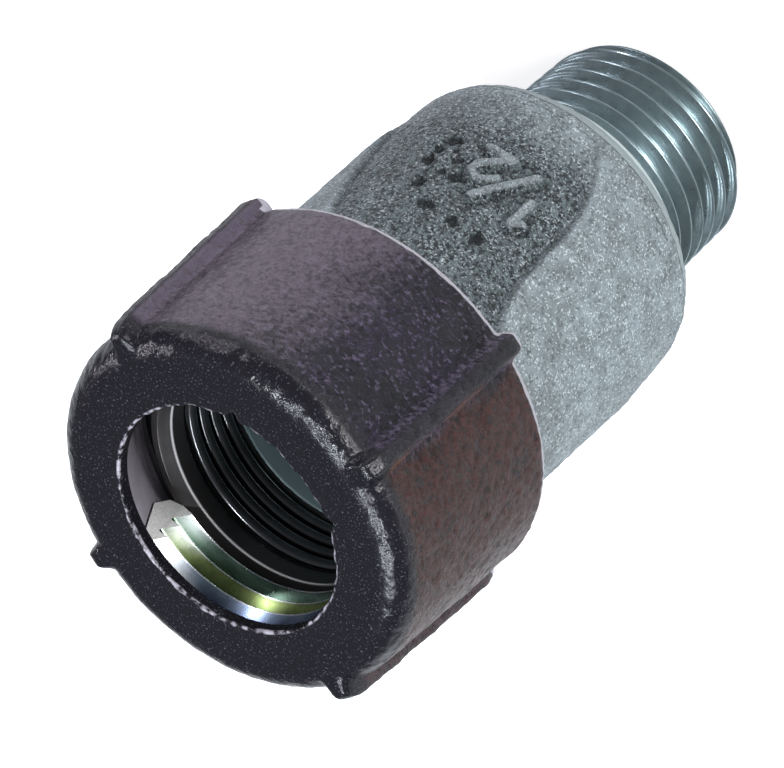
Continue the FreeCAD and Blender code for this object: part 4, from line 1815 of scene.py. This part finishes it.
@dataclass
class ClampNut:
    """The black nut: ribs, front wall, inner cone and its thread. Lengths are in millimetres."""

    trees: Trees
    rib_height: float = 1.3
    rib_width: float = 3.1
    rib_edge: float = 1.05
    rib_count: int = 4
    rib_foot_fade: float = 1.0
    rib_top_gap: float = 0.05
    rib_top_fade: float = 1.2
    rib_reach_in: float = 0.7
    rim_width: float = 1.0
    rim_most: float = 0.1
    rim_waves: tuple[RimWave, ...] = (
        RimWave(9, 0.06, 1.3),
        RimWave(23, 0.05, 0.4),
        RimWave(47, 0.04, 2.2),
    )
    nicks: tuple[float, ...] = (-42.0, -107.0)
    nick_depth: float = 0.8
    nick_width: float = 0.5
    draft: float = 0.5
    edge_round: float = 2.8
    skin_room: float = 0.22
    front_calm: float = 0.6
    foot_band: float = 0.55
    foot_bevel: float = 0.16
    opening: float = 11.1
    lip: float = 1.3
    cone_top: float = 12.55
    cone_foot: float = 14.42
    cone_foot_height: float = 56.55
    bore: float = 15.4
    sleeve: float = 16.3
    thread_room: float = 0.1
    thread_depth: float = 1.05
    thread_foot: float = 0.06
    thread_top: float = 55.2
    columns: int = 600
    crowding: float = 0.35
    fine: float = 0.24
    skin: CastSkin = CastSkin(
        wave_size=2.4,
        wave_height=0.34,
        grain_size=0.75,
        grain_height=0.34,
        pit_size=0.8,
        pit_depth=0.05,
        pit_share=0.40,
        seed=29.0,
    )

    def build(self) -> list[bpy.types.Object]:
        """Makes the nut's two pieces.

        Returns:
            The cast shell and the thread inside it.
        """
        foot, front, crest = node_levels("clamp_nut")
        cast, cut = BlackCasting().make(), CutIron().make()
        shell = self._shell(foot, front - self.skin_room, crest - self.skin_room, cast, cut)
        thread = Thread(
            "nut_thread",
            ThreadSide.INSIDE,
            crest=self.bore - self.thread_depth,
            depth=self.thread_depth,
            back=self.sleeve,
            start=foot + self.thread_foot,
            end=self.thread_top,
            phase=0.5,
            lead_in=0.9,
            run_out=0.3,
        )
        return [shell, thread.build(self.trees, cut)]

    def _shell(
        self,
        foot: float,
        front: float,
        crest: float,
        cast: bpy.types.Material,
        cut: bpy.types.Material,
    ) -> bpy.types.Object:
        """Makes the shell with its ribs and skin.

        Args:
            foot: Height of its lower end, in millimetres.
            front: Height of its front face.
            crest: Radius over the ribs.
            cast: The finish of its cast faces.
            cut: The finish of its machined faces.

        Returns:
            The shell.
        """
        radius = crest - self.rib_height
        rear = radius + self.draft
        fine = self.fine
        under_lip = front - self.lip
        inside = self.sleeve - self.thread_room
        corners = (
            Corner(self.opening, front, 0.22, Skin.CAST, fine),
            Corner(radius, front, self.edge_round, Skin.CAST, fine),
            Corner(rear, foot + self.foot_band, 0.10, Skin.CAST, 0.3),
            Corner(rear - self.foot_bevel, foot, 0.08, Skin.TURNED, 0.8),
            Corner(inside, foot, 0.0, Skin.TURNED, 4.0),
            Corner(inside, self.thread_top, 0.0, Skin.TURNED, 1.0),
            Corner(self.bore, self.thread_top, 0.0, Skin.TURNED, 0.6),
            Corner(self.bore, self.cone_foot_height - 0.15, 0.05, Skin.TURNED, 0.5),
            Corner(self.cone_foot, self.cone_foot_height, 0.1, Skin.TURNED, 0.5),
            Corner(self.cone_top, under_lip, 0.2, Skin.TURNED, 0.4),
            Corner(self.opening, under_lip, 0.12, Skin.CAST, 0.3),
        )
        angles = crowded_angles(self.columns, self.rib_count, self.crowding)
        piece = turn_section("nut_shell", Section(corners), angles)
        places = vertex_places(piece)
        rim = self._rim(places, front)
        piece.data.attributes["relief"].data.foreach_set("value", rim.astype(np.float32))
        cast_share = np.zeros(len(places), np.float32)
        layer = piece.data.attributes["cast"].data
        layer.foreach_get("value", cast_share)
        smooth = np.clip((places[:, 2] - front + self.edge_round) / self.edge_round, 0.0, 1.0)
        layer.foreach_set("value", (cast_share * (1.0 - self.front_calm * smooth)).astype(np.float32))
        ribs = Bands(
            count=self.rib_count,
            half_width=self.rib_width / 2,
            edge=self.rib_edge,
            rise=self.rib_height,
            bottom=0.0,
            bottom_fade=self.rib_foot_fade,
            top=front - self.rib_top_gap,
            top_fade=self.rib_top_fade,
            nearest=radius - self.edge_round * self.rib_reach_in,
        )
        ribs.shape(self.trees, piece, cast, cut)
        self.skin.shape(self.trees, piece, cast, cut)
        return piece

    def _rim(self, places: np.ndarray, front: float) -> np.ndarray:
        """Works out the ragged edge of the hole, with its nicks.

        Args:
            places: Rows of x, y, z in millimetres.
            front: Height of the front face.

        Returns:
            The rise at each vertex, in metres.
        """
        turn = np.arctan2(places[:, 1], places[:, 0])
        radius = np.hypot(places[:, 0], places[:, 1])
        apart = np.hypot(radius - self.opening, places[:, 2] - front)
        edge = np.clip(1.0 - apart / self.rim_width, 0.0, 1.0)
        waves = self.rim_waves
        ragged = sum(wave.height * np.sin(wave.count * turn + wave.start) for wave in waves)
        for degrees in self.nicks:
            aside = (turn - math.radians(degrees)) * radius
            ragged = ragged - self.nick_depth * np.exp(-((aside / self.nick_width) ** 2))
        return np.minimum(ragged, self.rim_most) * edge * MM


@dataclass
class GripRing:
    """The split ring: cone outside, three saw teeth inside, one end sawn on a slant.

    Lengths are in millimetres and angles in radians.
    """

    tooth: float = 10.95
    groove: float = 1.05
    wall: float = 2.85
    fall: float = 1.6
    top_land: float = 0.45
    foot_bevel: float = 0.7
    foot_height: float = 1.1
    teeth: int = 3
    spacing: float = 1.8
    first_tooth: float = 0.5
    drop: float = 0.25
    gap_start: float = math.radians(20.0)
    gap_end: float = math.radians(94.0)
    slant: float = math.radians(43.0)
    columns: int = 260

    def build(self) -> list[bpy.types.Object]:
        """Makes the ring.

        Returns:
            The one piece.
        """
        foot, top, _ = node_levels("grip_ring")
        points, _, _ = self._section(foot, top).sample()
        share = np.linspace(0.0, 1.0, self.columns)
        slanted = np.array([self._slanted_angle(radius) for radius in points[:, 0]])
        last = self.gap_start + math.tau
        angles = slanted[:, None] + (last - slanted[:, None]) * share[None, :]
        radius = points[:, 0][:, None] * MM
        height = np.repeat(points[:, 1][:, None] * MM, self.columns, axis=1)
        verts = np.stack((radius * np.cos(angles), radius * np.sin(angles), height), axis=-1)
        quads = ring_quads(len(points), self.columns, closed=False)
        piece = mesh_object("grip_ring_split", verts.reshape(-1, 3), quads)
        self._close(piece)
        return [piece]

    def _section(self, foot: float, top: float) -> Section:
        """Draws the ring's section, with its three teeth.

        Args:
            foot: Height of its lower end, in millimetres.
            top: Height of its upper end.

        Returns:
            The section.
        """
        tooth, root = self.tooth, self.tooth + self.groove
        cone, edge = self.tooth + self.wall, 0.06
        corners = [
            Corner(cone - self.foot_bevel, foot, edge, Skin.TURNED, 0.4),
            Corner(cone, foot + self.foot_height, 0.1, Skin.TURNED, 0.5),
            Corner(cone - self.fall, top, edge, Skin.TURNED, 0.4),
            Corner(cone - self.fall - self.top_land, top, edge, Skin.TURNED, 0.2),
        ]
        for number in reversed(range(self.teeth)):
            height = foot + self.first_tooth + self.spacing * number
            corners.append(Corner(tooth, height, 0.05, Skin.TURNED, 0.3))
            if number:
                corners.append(Corner(root, height - self.drop, 0.25, Skin.TURNED, 0.2))
        corners.append(Corner(root, foot, edge, Skin.TURNED, 0.5))
        return Section(tuple(corners))

    def _slanted_angle(self, radius: float) -> float:
        """Finds where the slanting cut meets a radius.

        Args:
            radius: The radius, in millimetres.

        Returns:
            The angle, in radians.
        """
        start = Vector((math.cos(self.gap_end), math.sin(self.gap_end))) * self.tooth
        way = Vector((math.cos(self.gap_end - self.slant), math.sin(self.gap_end - self.slant)))
        along = start.dot(way)
        reach = -along + math.sqrt(along * along - start.length_squared + radius * radius)
        place = start + way * reach
        return math.atan2(place.y, place.x)

    def _close(self, piece: bpy.types.Object) -> None:
        """Closes both ends and dresses the ring, with dull sawn ends.

        Args:
            piece: The open ring, whose mesh is changed.
        """
        mesh = bmesh.new()
        mesh.from_mesh(piece.data)
        ends = bmesh.ops.holes_fill(mesh, edges=[edge for edge in mesh.edges if edge.is_boundary])
        for face in ends["faces"]:
            face.material_index = 1
            face.smooth = False
            for edge in face.edges:
                edge.smooth = False
        bmesh.ops.recalc_face_normals(mesh, faces=mesh.faces)
        mesh.to_mesh(piece.data)
        mesh.free()
        piece.data.materials.append(SheenZinc().make())
        piece.data.materials.append(DullZinc().make())


@dataclass
class PressureRing:
    """The plain black ring between the grip ring and the gasket, in millimetres."""

    bore: float = 11.1
    cone: float = 0.9
    bevel: float = 0.3
    columns: int = 240

    def build(self) -> list[bpy.types.Object]:
        """Makes the ring.

        Returns:
            The one piece.
        """
        foot, top, outside = node_levels("pressure_ring")
        corners = (
            Corner(self.bore + self.bevel, foot, 0.05, Skin.TURNED, 0.5),
            Corner(outside, foot, 0.15, Skin.TURNED, 0.6),
            Corner(outside, top, 0.15, Skin.TURNED, 0.4),
            Corner(self.bore + self.cone, top, 0.1, Skin.TURNED, 0.4),
            Corner(self.bore, top - self.cone, 0.1, Skin.TURNED, 0.4),
            Corner(self.bore, foot + self.bevel, 0.05, Skin.TURNED, 0.2),
        )
        piece = turn_section("pressure_ring_turned", Section(corners), even_angles(self.columns))
        piece.data.materials.append(BlackSteel().make())
        return [piece]


@dataclass
class Gasket:
    """The rubber gasket, with its four rounded sealing ribs. Lengths are in millimetres."""

    lip: float = 10.9
    rise: float = 0.65
    ribs: int = 4
    first_rib: float = 1.2
    spacing: float = 1.42
    crown: float = 0.34
    flank: float = 0.95
    rim: float = 0.25
    columns: int = 220

    def build(self) -> list[bpy.types.Object]:
        """Makes the gasket.

        Returns:
            The one piece.
        """
        seat, top, outside = node_levels("gasket")
        valley = self.lip + self.rise
        corners = [
            Corner(outside, seat, 0.2, Skin.TURNED, 1.2),
            Corner(outside, top, 0.2, Skin.TURNED, 0.5),
            Corner(valley - self.rim, top, 0.2, Skin.TURNED, 0.3),
        ]
        half, foot = self.spacing * self.crown, self.rise * self.flank
        for number in reversed(range(self.ribs)):
            middle = seat + self.first_rib + self.spacing * number
            corners.append(Corner(valley, middle + foot, 0.10, Skin.TURNED, 0.1))
            corners.append(Corner(self.lip, middle + half, 0.40, Skin.TURNED, 0.1))
            corners.append(Corner(self.lip, middle - half, 0.40, Skin.TURNED, 0.1))
            corners.append(Corner(valley, middle - foot, 0.10, Skin.TURNED, 0.2))
        corners.append(Corner(valley, seat, 0.15, Skin.TURNED, 0.5))
        piece = turn_section("gasket_moulded", Section(tuple(corners)), even_angles(self.columns))
        piece.data.materials.append(BlackRubber().make())
        return [piece]


@dataclass(frozen=True)
class Lamp:
    """A square soft lamp: where it stands round the object, its size in metres and its light."""

    name: str
    degrees: float
    elevation: float
    reach: float
    size: float
    watts: float
    colour: Colour

    def build(self, aim: Vector) -> None:
        """Makes the lamp.

        Args:
            aim: The point that it faces, in metres.
        """
        turn, rise = math.radians(self.degrees), math.radians(self.elevation)
        level = math.cos(rise)
        way = Vector((level * math.cos(turn), level * math.sin(turn), math.sin(rise)))
        lamp = bpy.data.lights.new(self.name, "AREA")
        lamp.size, lamp.energy, lamp.color = self.size, self.watts, self.colour
        body = bpy.data.objects.new(self.name, lamp)
        bpy.context.scene.collection.objects.link(body)
        body.location = aim + way * self.reach
        body.rotation_euler = (-way * self.reach).to_track_quat("-Z", "Y").to_euler()


@dataclass(frozen=True)
class Studio:
    """Floor, lamps, background and camera."""

    azimuth: float = math.radians(15.7)
    elevation: float = math.radians(39.6)
    roll: float = math.radians(132.1)
    distance: float = 1.17
    pixels_per_mm: float = 11.74
    picture_width: int = 784
    shift: tuple[float, float] = (-3.26, -4.11)
    middle: float = 33.0
    floor_size: float = 6.0
    sky: Colour = (0.93, 0.96, 1.0)
    sky_strength: float = 0.13
    clip: Span = (0.05, 20.0)
    lamps: tuple[Lamp, ...] = (
        Lamp("right", -90.0, 16.0, 0.65, 0.17, 3.9, (0.99, 0.99, 1.0)),
        Lamp("left", 0.0, 17.0, 0.6, 0.050, 0.90, (0.96, 0.91, 1.0)),
        Lamp("top", -66.0, 82.0, 0.7, 0.052, 4.4, (0.88, 0.94, 1.0)),
        Lamp("inside", -171.0, 62.0, 0.7, 0.062, 2.6, (0.88, 0.94, 1.0)),
        Lamp("edge", 179.0, 53.5, 0.7, 0.085, 2.2, (0.88, 0.94, 1.0)),
        Lamp("back", 57.0, 31.0, 0.7, 0.045, 1.1, (0.94, 0.90, 1.0)),
    )

    def build(self) -> None:
        """Makes the surroundings of the object."""
        self._floor()
        self._world()
        for lamp in self.lamps:
            lamp.build(self.aim())
        self._camera()

    def axes(self) -> tuple[Vector, Vector, Vector]:
        """Works out how the camera stands.

        Returns:
            Its right, its up and its back, in the world.
        """
        sin_a, cos_a = math.sin(self.azimuth), math.cos(self.azimuth)
        sin_e, cos_e = math.sin(self.elevation), math.cos(self.elevation)
        back = Vector((sin_a * cos_e, -cos_a * cos_e, sin_e))
        level = Vector((cos_a, sin_a, 0.0))
        upright = back.cross(level)
        right = level * math.cos(self.roll) - upright * math.sin(self.roll)
        up = level * math.sin(self.roll) + upright * math.cos(self.roll)
        return right, up, back

    def aim(self) -> Vector:
        """The point that lamps and camera face, in metres."""
        return Vector((0.0, 0.0, self.middle * MM))

    def _floor(self) -> None:
        """Makes the pale floor."""
        half = self.floor_size / 2
        corners = ((-half, -half, 0.0), (half, -half, 0.0), (half, half, 0.0), (-half, half, 0.0))
        floor = mesh_object("floor", np.array(corners), np.array([[0, 1, 2, 3]]))
        floor.data.materials.append(PaleFloor().make())

    def _world(self) -> None:
        """Makes the dim, even surroundings."""
        world = bpy.data.worlds.new("studio")
        bpy.context.scene.world = world
        world.use_nodes = True
        background = world.node_tree.nodes["Background"]
        background.inputs["Color"].default_value = (*self.sky, 1.0)
        background.inputs["Strength"].default_value = self.sky_strength

    def _camera(self) -> None:
        """Makes the camera at the photograph's viewing angle."""
        right, up, back = self.axes()
        data = bpy.data.cameras.new("camera")
        reach = self.pixels_per_mm * self.distance / MM
        data.lens = reach * data.sensor_width / self.picture_width
        data.clip_start, data.clip_end = self.clip
        camera = bpy.data.objects.new("camera", data)
        bpy.context.scene.collection.objects.link(camera)
        aside = right * self.shift[0] + up * self.shift[1]
        place = self.aim() + aside * MM + back * self.distance
        turn = Matrix((right, up, back)).transposed().to_4x4()
        camera.matrix_world = Matrix.Translation(place) @ turn
        bpy.context.scene.camera = camera


def dress(pieces: list[bpy.types.Object], node: str, body: str) -> None:
    """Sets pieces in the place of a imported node.

    Args:
        pieces: The pieces that stand for it.
        node: The node's name.
        body: The moving body that carries it.
    """
    for piece in pieces:
        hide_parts(node)
        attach(piece, body)
        LOG.info("%s: %d faces, on %s", piece.name, len(piece.data.polygons), body)


def main() -> None:
    """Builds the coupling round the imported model, and its surroundings."""
    logging.basicConfig(level=logging.INFO, format="%(name)s: %(message)s")
    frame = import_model()
    LOG.info("frame: %d nodes", len(frame["nodes"]))
    trees = Trees(thread_tree(), band_tree(), skin_tree())
    dress(Casting(trees).build(), "coupling_body", "body")
    dress(ClampNut(trees).build(), "clamp_nut", "nut")
    dress(GripRing().build(), "grip_ring", "clamp_set")
    dress(PressureRing().build(), "pressure_ring", "clamp_set")
    dress(Gasket().build(), "gasket", "body")
    Studio().build()
    scene = bpy.context.scene
    scene.view_settings.view_transform = "Standard"


if __name__ == "__main__":
    main()
